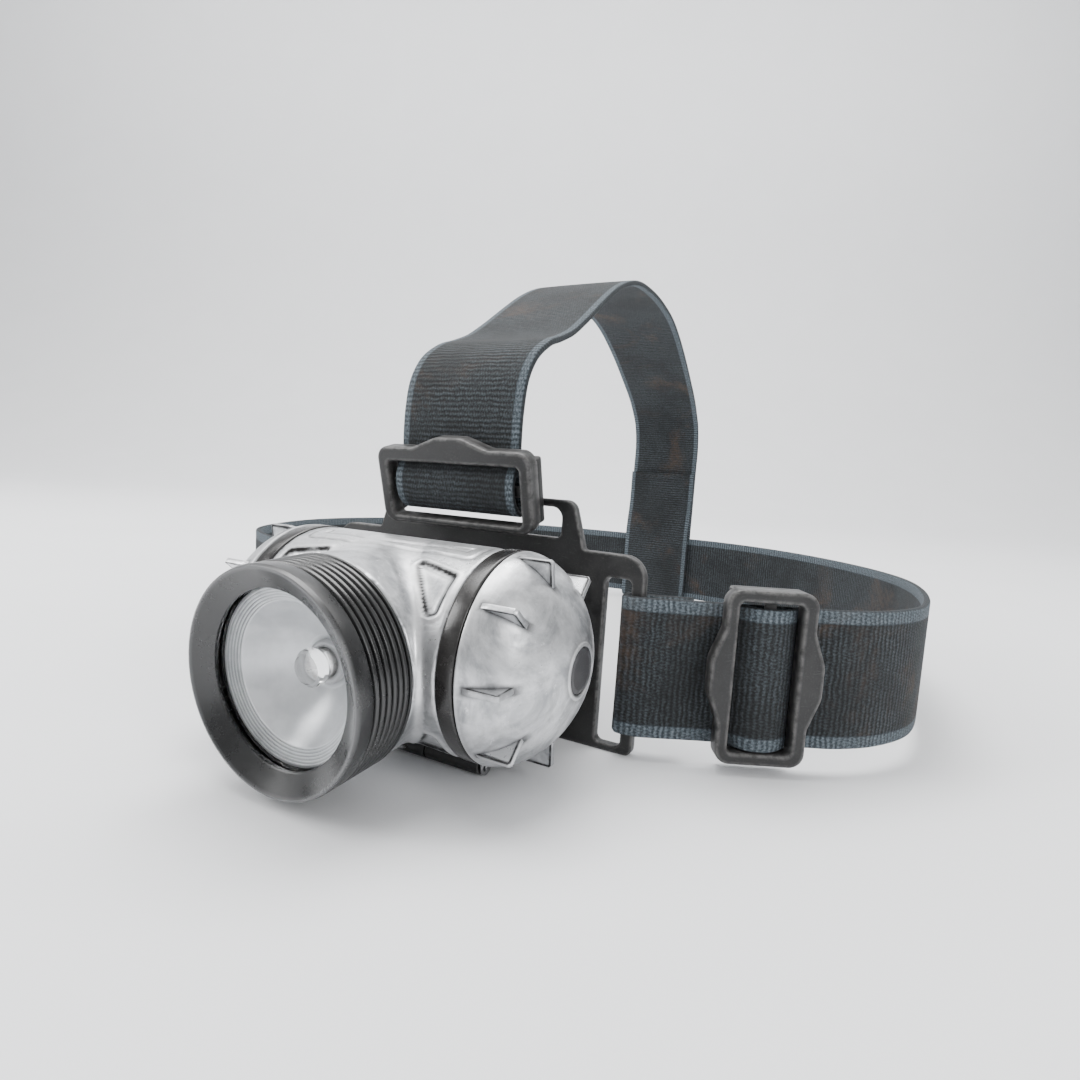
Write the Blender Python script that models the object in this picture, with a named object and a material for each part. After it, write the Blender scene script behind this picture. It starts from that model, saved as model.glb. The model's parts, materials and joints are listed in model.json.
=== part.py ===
"""Camping headlamp on an elastic strap harness: finned lamp body with a focusing bezel, battery
cells inside it, a hinged bracket, and two sliders. Units are metres, +Z up. The lamp faces -Y,
the head goes on the +Y side, and the origin is on the bracket's forehead face."""

import math

import bmesh
import bpy
from mathutils import Matrix, Vector

MM = 0.001

# ---- driving dimensions, in millimetres ----
GAP = 0.25                    # clearance between neighbouring pieces
FLOOR_Z = -24.4               # what the bracket, slider and rear loop stand on
LAMP_Y = -26.8                # lamp centre, in front of the forehead face
TILT_REST = 3.9               # degrees that the lamp looks down at rest

BODY_R = 20.0
BODY_HALF = 23.15
SPIGOT_R = 18.2
SPIGOT_END = BODY_HALF + 6.05
CELL_BAY_R = 16.5
BAND_R = 20.25
BAND_START = BODY_HALF + 0.15
BAND_END = BAND_START + 3.3

CAP_START = BAND_END + 0.3
CAP_BASE = BAND_END           # the dome and everything inside the cap are measured from here
CAP_R = 20.3
CAP_DOME = 14.8
CAP_POWER = 1.8
FIN_ANGLES = (-91.0, -40.0, 1.0, 42.5, 83.0, 137.0)   # degrees above the front
FIN_THICK = 1.1
FIN_START = CAP_BASE + 2.0
FIN_END = CAP_BASE + 9.0
FIN_R = CAP_R - 0.1
BUTTON_R = 4.25

NECK_R = 19.6
NECK_FRONT = 20.9
THREAD_R = 17.4
THREAD_END = 27.1
NECK_BORE_R = 15.4
NECK_FLOOR = 18.4
RING_R = 20.0
RING_BACK = 21.2
RING_FRONT = 34.5
LENS_OPENING_R = 15.7
LENS_R = 16.6
RIBS = 6

CELL_R = 7.25
CELL_LENGTH = 2 * BODY_HALF + 4.2
CELLS = 3

PLATE_HALF = 43.2
PLATE_THICK = 2.5
SIDE_SLOT_X = PLATE_HALF - 5.7
SIDE_SLOT_HALF = 3.0
SIDE_SLOT_Z = -4.55
SIDE_SLOT_HEIGHT = 36.7
TOP_SLOT_Z = 24.4
TOP_SLOT_HALF = 23.0
TOP_SLOT_HEIGHT = 6.8
SHELF_HALF = 21.8
SHELF_TOP = -22.2
PIN_R = 0.92
PIN_BORE_R = 1.0
KNUCKLE_R = 1.85
PIN_Y = -27.8
PIN_Z = -22.45
LUG_HALF = 8.7

BAND_WIDTH = 30.0
BAND_THICK = 1.6
BAND_MID_Z = -4.2
BAND_REAR_DROP = 2.7
REAR_X = -14.5                # where the top strap crosses the rear of the headband
REAR_Y = 188.9
REAR_SLOPE = 0.045
TOP_WIDTH = 32.0
TOP_THICK = 1.6

SLIDER_DEPTH = 4.2
SLIDER_BULGE = 2.4            # how far the long bars swell at mid-length
SLIDER_CORNER_R = 3.0
SLIDER_X = PLATE_HALF + 24.0  # a point of the straight run of webbing under the band's slider
SLIDER_Y = 9.0
SLIDER_TURN = 27.6            # degrees from +X towards +Y
CROWN_LEAN = 15.0             # degrees that the top slider leans forward, as its webbing does
FOLD_THICK = 1.1

SEGMENTS = 32
WELD = 0.002                  # Booleans leave faces thinner than this
COIL_STEPS = 9
SHARP = 35.0                  # degrees between faces that stay a hard edge

LAMP = Matrix.Translation((0, LAMP_Y, 0)) @ Matrix.Rotation(math.radians(TILT_REST), 4, "X")
# A local z axis laid along the lamp's front, the right cap and the left cap.
FRONT = LAMP @ Matrix.Rotation(math.radians(90), 4, "X")
RIGHT = LAMP @ Matrix.Rotation(math.radians(90), 4, "Y")
LEFT = LAMP @ Matrix.Rotation(math.radians(-90), 4, "Y")
PIN = Matrix.Translation((0, PIN_Y, PIN_Z)) @ Matrix.Rotation(math.radians(90), 4, "Y")
# Local x along the webbing, y across it and z out from the head. The band's slider sits a little
# nearer to the lamp than the middle of the straight run, and a little high.
BAND_SLIDER = (
    Matrix.Translation((SLIDER_X, SLIDER_Y, BAND_MID_Z))
    @ Matrix.Rotation(math.radians(SLIDER_TURN), 4, "Z")
    @ Matrix.Rotation(math.radians(90), 4, "X")
    @ Matrix.Translation((-1.2, 0.5, 0))
)
CROWN_SLIDER = (
    Matrix.Translation((0.3, -9.1, 31.2))
    @ Matrix.Rotation(math.radians(CROWN_LEAN), 4, "X")
    @ Matrix(((0, -1, 0, 0), (0, 0, -1, 0), (1, 0, 0, 0), (0, 0, 0, 1)))
)

for old in list(bpy.data.objects):
    bpy.data.objects.remove(old, do_unlink=True)


# ---- materials ----
def material(name, colour, metallic, roughness, alpha=1.0):
    made = bpy.data.materials.new(name)
    made.use_nodes = True
    shader = made.node_tree.nodes["Principled BSDF"]
    shader.inputs["Base Color"].default_value = (*colour, 1.0)
    shader.inputs["Metallic"].default_value = metallic
    shader.inputs["Roughness"].default_value = roughness
    shader.inputs["Alpha"].default_value = alpha
    return made


SILVER = material("silver_housing", (0.62, 0.63, 0.64), 0.6, 0.35)
BLACK = material("black_moulding", (0.03, 0.03, 0.035), 0.0, 0.45)
DARK = material("dark_moulding", (0.07, 0.07, 0.08), 0.0, 0.5)
RUBBER = material("rubber", (0.02, 0.02, 0.02), 0.0, 0.7)
WEBBING = material("webbing", (0.07, 0.08, 0.1), 0.0, 0.9)
CLEAR = material("clear", (0.9, 0.92, 0.93), 0.0, 0.05, 0.3)
MIRROR = material("reflector", (0.8, 0.8, 0.8), 1.0, 0.15)
STEEL = material("steel", (0.6, 0.6, 0.6), 1.0, 0.3)
BRASS = material("brass", (0.75, 0.6, 0.3), 1.0, 0.3)
CELL_WRAP = material("cell_wrap", (0.1, 0.25, 0.35), 0.0, 0.4)
BOARD = material("board", (0.05, 0.25, 0.1), 0.0, 0.5)


# ---- shape helpers: all work in millimetres ----
def finish(name, shape, look, placed=None):
    """Turns a bmesh in millimetres into a named object in metres."""
    bmesh.ops.remove_doubles(shape, verts=shape.verts, dist=1e-5)
    bmesh.ops.recalc_face_normals(shape, faces=shape.faces)
    if placed is not None:
        bmesh.ops.transform(shape, matrix=placed, verts=shape.verts)
    bmesh.ops.scale(shape, vec=(MM, MM, MM), verts=shape.verts)
    mesh = bpy.data.meshes.new(name)
    shape.to_mesh(mesh)
    shape.free()
    mesh.materials.append(look)
    mesh.shade_smooth()
    mesh.set_sharp_from_angle(angle=math.radians(SHARP))
    made = bpy.data.objects.new(name, mesh)
    bpy.context.scene.collection.objects.link(made)
    return made


def revolve(name, profile, look, placed=None, segments=SEGMENTS):
    """Turns a closed (radius, height) profile about the local z axis."""
    shape = bmesh.new()
    rings = []
    for radius, height in profile:
        if radius < 1e-6:
            rings.append([shape.verts.new((0, 0, height))] * segments)
            continue
        ring = []
        for i in range(segments):
            angle = 2 * math.pi * i / segments
            ring.append(shape.verts.new((radius * math.cos(angle), radius * math.sin(angle), height)))
        rings.append(ring)
    for a, b in zip(rings, rings[1:] + rings[:1]):
        for i in range(segments):
            j = (i + 1) % segments
            corners = list(dict.fromkeys((a[i], a[j], b[j], b[i])))
            if len(corners) > 2:
                shape.faces.new(corners)
    return finish(name, shape, look, placed)


def prism(name, outline, low, high, look, placed=None):
    """Extrudes an outline in local x and y from z = low to z = high."""
    shape = bmesh.new()
    bottom = [shape.verts.new((x, y, low)) for x, y in outline]
    top = [shape.verts.new((x, y, high)) for x, y in outline]
    shape.faces.new(bottom)
    shape.faces.new(top)
    for i in range(len(outline)):
        j = (i + 1) % len(outline)
        shape.faces.new((bottom[i], bottom[j], top[j], top[i]))
    return finish(name, shape, look, placed)


def block(name, low, high, look, placed=None):
    outline = [(low[0], low[1]), (high[0], low[1]), (high[0], high[1]), (low[0], high[1])]
    return prism(name, outline, low[2], high[2], look, placed)


def rod(name, radius, low, high, look, placed=None, segments=SEGMENTS):
    return revolve(name, [(0, low), (radius, low), (radius, high), (0, high)], look, placed, segments)


def weld(mesh):
    """Closes the hair-thin faces that a Boolean leaves."""
    shape = bmesh.new()
    shape.from_mesh(mesh)
    bmesh.ops.remove_doubles(shape, verts=shape.verts, dist=WELD * MM)
    bmesh.ops.dissolve_degenerate(shape, edges=shape.edges, dist=WELD * MM)
    shape.to_mesh(mesh)
    shape.free()


def combine(made, others, operation):
    """Joins or cuts with other objects one at a time. They are removed afterwards."""
    for other in others:
        step = made.modifiers.new("step", "BOOLEAN")
        step.operation = operation
        step.solver = "EXACT"
        step.object = other
        bpy.context.view_layer.update()
        graph = bpy.context.evaluated_depsgraph_get()
        result = bpy.data.meshes.new_from_object(made.evaluated_get(graph))
        made.modifiers.clear()
        weld(result)
        made.data = result
        bpy.data.objects.remove(other, do_unlink=True)
    return made


def rounded(corners, radius, steps=5):
    """Rounds the corners of an outline. radius is one number, or one for each corner."""
    points = []
    count = len(corners)
    for i, corner in enumerate(corners):
        size = radius[i] if isinstance(radius, (list, tuple)) else radius
        here = Vector(corner)
        before = (Vector(corners[i - 1]) - here).normalized()
        after = (Vector(corners[(i + 1) % count]) - here).normalized()
        half = before.angle(after) / 2
        reach = size / math.tan(half)
        if size < 1e-3:
            points.append(tuple(here))
            continue
        centre = here + (before + after).normalized() * size / math.sin(half)
        start = here + before * reach - centre
        end = here + after * reach - centre
        turn = start.angle_signed(end)
        for k in range(steps + 1):
            angle = -turn * k / steps
            cos, sin = math.cos(angle), math.sin(angle)
            points.append(
                (centre.x + start.x * cos - start.y * sin, centre.y + start.x * sin + start.y * cos)
            )
    return points


def box_outline(half_x, half_y):
    return [(-half_x, -half_y), (half_x, -half_y), (half_x, half_y), (-half_x, half_y)]


def curve_points(points, spacing):
    """A smooth curve through the points, sampled about every spacing."""
    points = [Vector(p) for p in points]
    padded = [points[0] * 2 - points[1]] + points + [points[-1] * 2 - points[-2]]
    found = []
    for a, b, c, d in zip(padded, padded[1:], padded[2:], padded[3:]):
        steps = max(1, round((c - b).length / spacing))
        ab = max((b - a).length, 1e-6) ** 0.5
        bc = max((c - b).length, 1e-6) ** 0.5
        cd = max((d - c).length, 1e-6) ** 0.5
        leave = ((b - a) / ab - (c - a) / (ab + bc) + (c - b) / bc) * bc
        arrive = ((c - b) / bc - (d - b) / (bc + cd) + (d - c) / cd) * bc
        for k in range(steps):
            t = k / steps
            found.append(
                b * (2 * t**3 - 3 * t**2 + 1)
                + leave * (t**3 - 2 * t**2 + t)
                + c * (3 * t**2 - 2 * t**3)
                + arrive * (t**3 - t**2)
            )
    return found + [points[-1]]


def ribbon(name, centres, sides, width, thick, look):
    """A flat strap along the centres; sides holds the direction of its width at each centre."""
    shape = bmesh.new()
    rows = []
    for i, centre in enumerate(centres):
        back = centres[max(i - 1, 0)]
        ahead = centres[min(i + 1, len(centres) - 1)]
        side = sides[i].normalized()
        normal = (ahead - back).cross(side).normalized()
        corners = ((-1, -1), (1, -1), (1, 1), (-1, 1))
        rows.append(
            [shape.verts.new(centre + side * a * width / 2 + normal * b * thick / 2) for a, b in corners]
        )
    shape.faces.new(rows[0])
    shape.faces.new(rows[-1])
    for a, b in zip(rows, rows[1:]):
        for i in range(4):
            j = (i + 1) % 4
            shape.faces.new((a[i], a[j], b[j], b[i]))
    return finish(name, shape, look)


def tube(name, centres, radius, look, placed=None, sides=4):
    """A round wire along the centres, with flat ends."""
    shape = bmesh.new()
    rows = []
    for i, centre in enumerate(centres):
        along = (centres[min(i + 1, len(centres) - 1)] - centres[max(i - 1, 0)]).normalized()
        out = Vector((centre.x, centre.y, 0)).normalized()
        up = along.cross(out).normalized()
        out = up.cross(along)
        row = []
        for k in range(sides):
            angle = 2 * math.pi * k / sides
            row.append(shape.verts.new(centre + (out * math.cos(angle) + up * math.sin(angle)) * radius))
        rows.append(row)
    shape.faces.new(rows[0])
    shape.faces.new(rows[-1])
    for a, b in zip(rows, rows[1:]):
        for i in range(sides):
            j = (i + 1) % sides
            shape.faces.new((a[i], a[j], b[j], b[i]))
    return finish(name, shape, look, placed)


def coil(name, radius, wire, low, high, turns, placed, centre=(0, 0)):
    """A compression spring about local z, moved to centre after it is wound."""
    steps = int(turns * COIL_STEPS)
    start = low + wire
    rise = (high - low - 2 * wire) / steps
    points = []
    for i in range(steps + 1):
        angle = 2 * math.pi * i / COIL_STEPS
        points.append(Vector((radius * math.cos(angle), radius * math.sin(angle), start + rise * i)))
    moved = placed @ Matrix.Translation((centre[0], centre[1], 0))
    return tube(name, points, wire, STEEL, moved)


def joint_axis(name, placed, pieces, parent=None):
    """An empty on a joint's axis, its local z along it. The pieces that move on the joint hang on it."""
    axis = bpy.data.objects.new(name, None)
    bpy.context.scene.collection.objects.link(axis)
    axis.empty_display_size = 10 * MM
    where = placed.copy()
    where.translation = placed.translation * MM
    if parent is not None:
        axis.parent = parent
        axis.matrix_parent_inverse = parent.matrix_world.inverted()
    axis.matrix_basis = where
    bpy.context.view_layer.update()
    for piece in pieces:
        hung = bpy.data.objects[piece]
        hung.parent = axis
        hung.matrix_parent_inverse = axis.matrix_world.inverted()
    return axis


def cell_centres():
    """Where the cells lie round the lamp's long axis, as local x and y of the cap frames."""
    reach = CELL_R / math.sin(math.pi / CELLS) + GAP / 2
    found = []
    for i in range(CELLS):
        angle = math.radians(90) + 2 * math.pi * i / CELLS
        found.append((reach * math.cos(angle), reach * math.sin(angle)))
    return found


# ---- bracket, hinge and straps: fixed to each other ----
def make_bracket():
    upright = Matrix.Rotation(math.radians(90), 4, "X")   # outline in x and z, depth along -y
    half = PLATE_HALF
    right = [(half, FLOOR_Z), (half, 18.9), (28.7, 18.9), (25.6, 29.5)]
    outline = right + [(-x, z) for x, z in reversed(right)]
    radii = [1.5, 5.0, 0.8, 2.8]
    plate = prism("bracket", rounded(outline, radii + radii[::-1]), 0, PLATE_THICK, DARK, upright)

    shelf_reach = -PIN_Y
    shelf = block("shelf", (-SHELF_HALF, -shelf_reach, FLOOR_Z), (SHELF_HALF, -1.0, SHELF_TOP), DARK)
    knuckles = rod("knuckles", KNUCKLE_R, -SHELF_HALF, SHELF_HALF, DARK, PIN, 24)
    gussets = []
    for side in (-1, 1):
        wedge = [(1.0, FLOOR_Z + 1), (12.0, FLOOR_Z + 1), (12.0, SHELF_TOP), (1.0, -12.0)]
        turned = Matrix.Translation((side * 20.0, 0, 0)) @ Matrix.Rotation(math.radians(-90), 4, "Z") \
            @ Matrix.Rotation(math.radians(90), 4, "X")
        gussets.append(prism(f"gusset{side}", wedge, -1.0, 1.0, DARK, turned))
    combine(plate, [shelf, knuckles] + gussets, "UNION")

    cutters = []
    side_slot = box_outline(SIDE_SLOT_HALF, SIDE_SLOT_HEIGHT / 2)
    for side in (-1, 1):
        slot = rounded([(side * SIDE_SLOT_X + x, SIDE_SLOT_Z + z) for x, z in side_slot], 1.3, 3)
        cutters.append(prism(f"slot{side}", slot, -5, 10, DARK, upright))
    top_slot = box_outline(TOP_SLOT_HALF, TOP_SLOT_HEIGHT / 2)
    top_slot = rounded([(x, TOP_SLOT_Z + z) for x, z in top_slot], 2.4, 3)
    cutters.append(prism("top_slot", top_slot, -5, 10, DARK, upright))
    notch = LUG_HALF + GAP
    cutters.append(block("notch", (-notch, PIN_Y - 5, FLOOR_Z - 1), (notch, PIN_Y + 2.6, SHELF_TOP + 5), DARK))
    cutters.append(rod("pin_bore", PIN_BORE_R, -SHELF_HALF - 5, SHELF_HALF + 5, DARK, PIN, 24))
    return combine(plate, cutters, "DIFFERENCE")


def make_hinge():
    end = SHELF_HALF + GAP
    head = [(0, -end - 1.0), (1.6, -end - 1.0), (1.6, -end), (PIN_R, -end), (PIN_R, end + 0.2)]
    groove = [(0.7, end + 0.2), (0.7, end + 0.8), (PIN_R, end + 0.8), (PIN_R, end + 1.2), (0, end + 1.2)]
    revolve("hinge_pin", head + groove, STEEL, PIN, 24)
    clip = [(0.8, end + 0.3), (1.7, end + 0.3), (1.7, end + 0.7), (0.8, end + 0.7)]
    revolve("hinge_clip", clip, STEEL, PIN, 24)


def slot_wrap(bar_outer, bar_inner):
    """Plan of the webbing round a slot's outer bar: from its lap inside, through the slot, out."""
    clear = BAND_THICK / 2 + GAP
    behind = clear
    before = -PLATE_THICK - clear
    inside = bar_inner - clear
    lap = [(bar_outer + 8.8, behind + 3.65), (bar_outer + 4.8, behind + 1.95)]
    lap += [(bar_outer + 0.6, behind + 0.3), (bar_outer - 1.0, behind)]
    turn = [(inside + 0.6, behind - 0.1), (inside, behind - 1.0), (inside, before + 1.0)]
    out = [(inside + 0.6, before + 0.1), (bar_outer - 1.0, before), (bar_outer + 1.0, before + 0.4)]
    return lap, turn, out


def band_path():
    lap, turn, out = slot_wrap(PLATE_HALF, SIDE_SLOT_X + SIDE_SLOT_HALF)
    right_start = lap + turn + out
    along = Vector((math.cos(math.radians(SLIDER_TURN)), math.sin(math.radians(SLIDER_TURN))))
    middle = Vector((SLIDER_X, SLIDER_Y))
    straight = [tuple(middle + along * t) for t in (-14.0, -10.0, 0.0, 12.0, 15.0)]
    right = straight + beyond_plate(1, [(44.8, 22.5), (51.4, 34.0), (54.0, 49.0), (53.8, 80.0), (48.3, 113.0)])
    rear = [(77.0, 145.0), (58.0, 168.0), (38.0, 182.0), (18.0, 188.6)]
    rear += [(x, REAR_Y + REAR_SLOPE * (x - REAR_X)) for x in (5.0, -1.0, -8.0, REAR_X, -21.0, -28.0, -34.0)]
    left = [(14.8, 184.0), (40.8, 175.0), (64.8, 157.0), (80.8, 133.0), (84.8, 105.0), (80.8, 70.0)]
    left += [(70.3, 40.0), (56.8, 18.0), (38.8, 6.6), (18.8, 0.8), (6.8, -2.1)]
    return right_start, right + rear + beyond_plate(-1, left)


def beyond_plate(side, points):
    """Plan points whose first number is measured outwards from the plate's edge."""
    return [(side * (PLATE_HALF + x), y) for x, y in points]


def make_headband():
    right_start, loop = band_path()
    left_start = [(-x, y) for x, y in reversed(right_start)]
    dense = [Vector((x, y, 0)) for x, y in right_start]
    dense += curve_points([(x, y, 0) for x, y in [right_start[-1]] + loop + [left_start[0]]], 6.0)[1:]
    dense += [Vector((x, y, 0)) for x, y in left_start[1:]]
    rear = max(point.y for point in dense)
    centres = []
    for point in dense:
        share = min(max((point.y - 30.0) / (rear - 30.0), 0.0), 1.0)
        drop = BAND_REAR_DROP * share * share * (3 - 2 * share)
        centres.append(Vector((point.x, point.y, BAND_MID_Z - drop)))
    up = [Vector((0, 0, 1))] * len(centres)
    return ribbon("headband", centres, up, BAND_WIDTH, BAND_THICK, WEBBING)


def make_top_strap():
    """Wraps the bracket's top bar, rises over the head, and wraps the rear of the headband."""
    front_lap = [(-6.4, 38.0), (-5.2, 33.2), (-2.2, 31.0), (0.6, 30.4), (1.5, 28.8), (1.0, 27.2)]
    front_turn = [(-0.2, 26.4), (-2.4, 26.4), (-4.2, 27.4), (-6.2, 30.0), (-8.4, 34.0)]
    rise = [(-9.3, 38.0), (-9.6, 43.0), (-9.3, 49.0), (-8.0, 55.0), (-4.4, 60.4), (1.6, 64.4), (8.5, 66.9)]
    over = [(15.5, 69.8), (24.0, 74.8), (34.0, 81.2), (46.0, 88.4), (58.0, 94.0), (70.0, 97.6)]
    over += [(84.0, 99.1), (102.0, 99.2), (120.0, 97.3)]
    down = [(140.0, 91.0), (162.0, 81.6), (178.0, 73.0), (187.0, 65.0), (191.0, 54.0)]
    clear = BAND_THICK / 2 + TOP_THICK / 2 + 0.4
    outside = REAR_Y + clear
    floor = FLOOR_Z + TOP_THICK / 2 + 0.02
    rear = [(outside, 40.0), (outside, 12.0), (outside, -12.0), (outside, floor + 2.4)]
    under = [(outside - 0.3, floor + 1.4), (outside - 1.0, floor + 0.5), (outside - 2.1, floor)]
    inside = REAR_Y - clear - 0.2
    under += [(inside + 1.0, floor + 0.5), (inside + 0.3, floor + 1.4)]
    back_up = [(inside, floor + 2.4), (inside, -12.0), (inside, 8.0), (inside + 1.0, 16.0)]
    lapped = outside - TOP_THICK - 0.35
    rear_lap = [(lapped, 24.0), (lapped, 40.0)]
    front = [Vector((0, y, z)) for y, z in front_lap + front_turn]
    free = curve_points([(0, y, z) for y, z in rise + over + down + rear], 6.5)
    tail = [Vector((0, y, z)) for y, z in under + back_up + rear_lap]
    centres = []
    sides = []
    for point in front + free + tail:
        share = min(max(point.y / (REAR_Y - 5.0), 0.0), 1.0)
        centre_x = -0.5 + (REAR_X + 0.5) * share
        slope = REAR_SLOPE * share
        centres.append(Vector((centre_x, point.y, point.z)))
        sides.append(Vector((1, slope, 0)))
    return ribbon("top_strap", centres, sides, TOP_WIDTH, TOP_THICK, WEBBING)


# ---- lamp body ----
def make_housing():
    body = rod("housing", BODY_R, -BODY_HALF, BODY_HALF, SILVER, RIGHT, 36)
    neck = rod("neck", NECK_R, 0, NECK_FRONT, SILVER, FRONT, 36)
    spigot = rod("spigot", SPIGOT_R, -SPIGOT_END, SPIGOT_END, SILVER, RIGHT, 36)
    thread = rod("thread", THREAD_R, 10, THREAD_END, SILVER, FRONT, 36)
    combine(body, [neck, spigot, thread], "UNION")
    bay = rod("bay", CELL_BAY_R, -50, 50, SILVER, RIGHT, 36)
    front_bore = rod("front_bore", NECK_BORE_R, NECK_FLOOR, 50, SILVER, FRONT, 36)
    contact_bore = rod("contact_bore", 3.0, 10, 30, SILVER, FRONT, 20)
    groove = [(THREAD_R - 0.5, 22.0), (THREAD_R + 1, 22.0), (THREAD_R + 1, 23.2), (THREAD_R - 0.5, 23.2)]
    seal_groove = revolve("groove", groove, SILVER, FRONT, 36)
    screws = [rod(f"hole{i}", 0.95, 17.2, 22, SILVER, foot_screw_frame(side), 16) for i, side in enumerate((-1, 1))]
    return combine(body, [bay, front_bore, contact_bore, seal_groove] + screws, "DIFFERENCE")


def local_pin():
    """The hinge pin in the lamp's own frame."""
    return LAMP.inverted() @ Vector((0, PIN_Y, PIN_Z))


def foot_screw_frame(side):
    lean = Matrix.Rotation(math.radians(180 - 20), 4, "X")   # local z out of the body, down and back
    return LAMP @ Matrix.Translation((side * 5.0, 0, 0)) @ lean


def make_tilt_foot():
    """The black lug under the body that turns on the hinge pin, and its two screws."""
    pin = local_pin()
    inner = BODY_R + GAP
    outer = BODY_R + 1.5
    first = math.degrees(math.atan2(pin.z, pin.y)) + 360
    last = 304.0
    steps = 10
    arc = [math.radians(first + (last - first) * i / steps) for i in range(steps + 1)]
    pad = [(outer * math.cos(a), outer * math.sin(a)) for a in arc]
    pad += [(inner * math.cos(a), inner * math.sin(a)) for a in reversed(arc)]
    turned = LAMP @ Matrix(((0, 0, 1, 0), (1, 0, 0, 0), (0, 1, 0, 0), (0, 0, 0, 1)))
    foot = prism("tilt_foot", pad, -LUG_HALF, LUG_HALF, BLACK, turned)
    lug = rod("lug", KNUCKLE_R, -LUG_HALF, LUG_HALF, BLACK, PIN, 24)
    combine(foot, [lug], "UNION")
    cutters = [rod("lug_bore", PIN_BORE_R, -20, 20, BLACK, PIN, 24)]
    for side in (-1, 1):
        cutters.append(rod(f"foot_hole{side}", 1.0, 15, 25, BLACK, foot_screw_frame(side), 16))
    combine(foot, cutters, "DIFFERENCE")
    for name, side in (("foot_screw_left", -1), ("foot_screw_right", 1)):
        shaft = [(0, 17.5), (0.75, 17.5), (0.75, outer + 0.1), (1.7, outer + 0.1), (1.5, outer + 0.6)]
        revolve(name, shaft + [(0, outer + 0.7)], STEEL, foot_screw_frame(side), 16)


def make_cells():
    half = CELL_LENGTH / 2
    for i, (x, y) in enumerate(cell_centres()):
        end = RIGHT if i % 2 else LEFT
        placed = end @ Matrix.Translation((x if i % 2 else -x, y, 0))
        nub = [(0, half), (2.6, half), (2.6, half - 1.2), (CELL_R - 0.6, half - 1.2), (CELL_R, half - 1.8)]
        revolve(f"battery_{i + 1}", nub + [(CELL_R, -half + 0.4), (CELL_R - 0.4, -half), (0, -half)],
                CELL_WRAP, placed, 16)
    rod("battery_spacer", 0.85, -22, 22, BLACK, RIGHT, 12)


def make_seals():
    for name, frame in (("right_seal_band", RIGHT), ("left_seal_band", LEFT)):
        inside = SPIGOT_R + GAP
        profile = [(inside, BAND_START), (BAND_R, BAND_START), (BAND_R, BAND_END), (inside, BAND_END)]
        revolve(name, profile, RUBBER, frame, 36)
    middle = (THREAD_R - 0.1, 22.6)
    corners = ((-0.3, 0), (0, -0.33), (0.3, 0), (0, 0.33))
    revolve("neck_oring", [(middle[0] + a, middle[1] + b) for a, b in corners], RUBBER, FRONT, 36)


def make_light():
    socket = [(2.8, 18.6), (7.5, 18.6), (7.5, 19.4), (4.0, 19.4), (4.0, 21.6), (2.8, 21.6)]
    made = revolve("bulb_socket", socket, BLACK, FRONT, 32)
    holes = []
    for side in (-1, 1):
        placed = FRONT @ Matrix.Translation((side * 5.8, 0, 0))
        holes.append(rod(f"socket_hole{side}", 0.75, 17, 21, BLACK, placed, 16))
        screw = [(0, 18.7), (0.6, 18.7), (0.6, 19.5), (1.0, 19.5), (0.9, 19.9), (0, 19.95)]
        revolve(f"socket_screw_{1 if side < 0 else 2}", screw, STEEL, placed, 16)
    combine(made, holes, "DIFFERENCE")
    rod("bulb_base", 2.5, 19.5, 22.5, BRASS, FRONT, 24)
    glass = [(0, 22.65), (2.3, 22.65), (3.2, 23.4), (3.5, 24.2), (3.2, 25.0), (2.3, 25.7), (1.2, 26.1), (0, 26.2)]
    revolve("bulb_glass", glass, CLEAR, FRONT, 24)
    coil("socket_spring", 1.8, 0.25, 16.8, 19.3, 3, FRONT)


# ---- focusing bezel ----
def make_focus():
    revolve("lens", [(0, 29.9), (LENS_R, 29.9), (LENS_R, 31.2), (15.0, 31.2), (8.0, 31.5), (0, 31.6)], CLEAR, FRONT, 36)
    revolve("lens_gasket", [(13.8, 29.35), (LENS_R, 29.35), (LENS_R, 29.75), (13.8, 29.75)], RUBBER, FRONT)
    front = 29.2
    bowl = [(4.4, 21.2), (6.8, 22.2), (9.6, 24.4), (12.0, 27.1), (13.2, front)]
    outside = [(LENS_R, front), (LENS_R, front - 0.7), (13.9, front - 0.9), (12.6, 26.3), (10.2, 23.6),
               (7.2, 21.4), (4.4, 20.5)]
    revolve("reflector", bowl + outside, MIRROR, FRONT)
    revolve("lens_retainer", [(14.6, 27.5), (LENS_R, 27.5), (LENS_R, 28.2), (14.6, 28.2)], DARK, FRONT)

    inner = THREAD_R + 0.35
    lens_seat = LENS_R + GAP
    outer = [(inner, RING_BACK), (RING_R - 0.4, RING_BACK)]
    ribbed = 30.6
    pitch = (ribbed - RING_BACK - 0.4) / RIBS
    for i in range(RIBS):
        at = RING_BACK + 0.4 + pitch * i
        outer += [(RING_R, at + pitch * 0.6), (RING_R - 0.5, at + pitch * 0.85)]
    outer += [(RING_R, ribbed + 0.4), (RING_R, RING_FRONT - 0.7), (RING_R - 0.5, RING_FRONT)]
    face = [(RING_R - 1.0, RING_FRONT), (LENS_OPENING_R, 32.3), (LENS_OPENING_R, 31.45)]
    seat = [(lens_seat, 31.45), (lens_seat, 27.4), (inner, 27.4)]
    revolve("focus_ring", outer + face + seat, RUBBER, FRONT, 36)


# ---- end caps ----
def dome(radius_share):
    """Height of the dome above its base where its radius is this share of the full one."""
    sine = radius_share ** (CAP_POWER / 2)
    return CAP_BASE + CAP_DOME * math.sqrt(1 - sine * sine) ** (2 / CAP_POWER)


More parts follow.
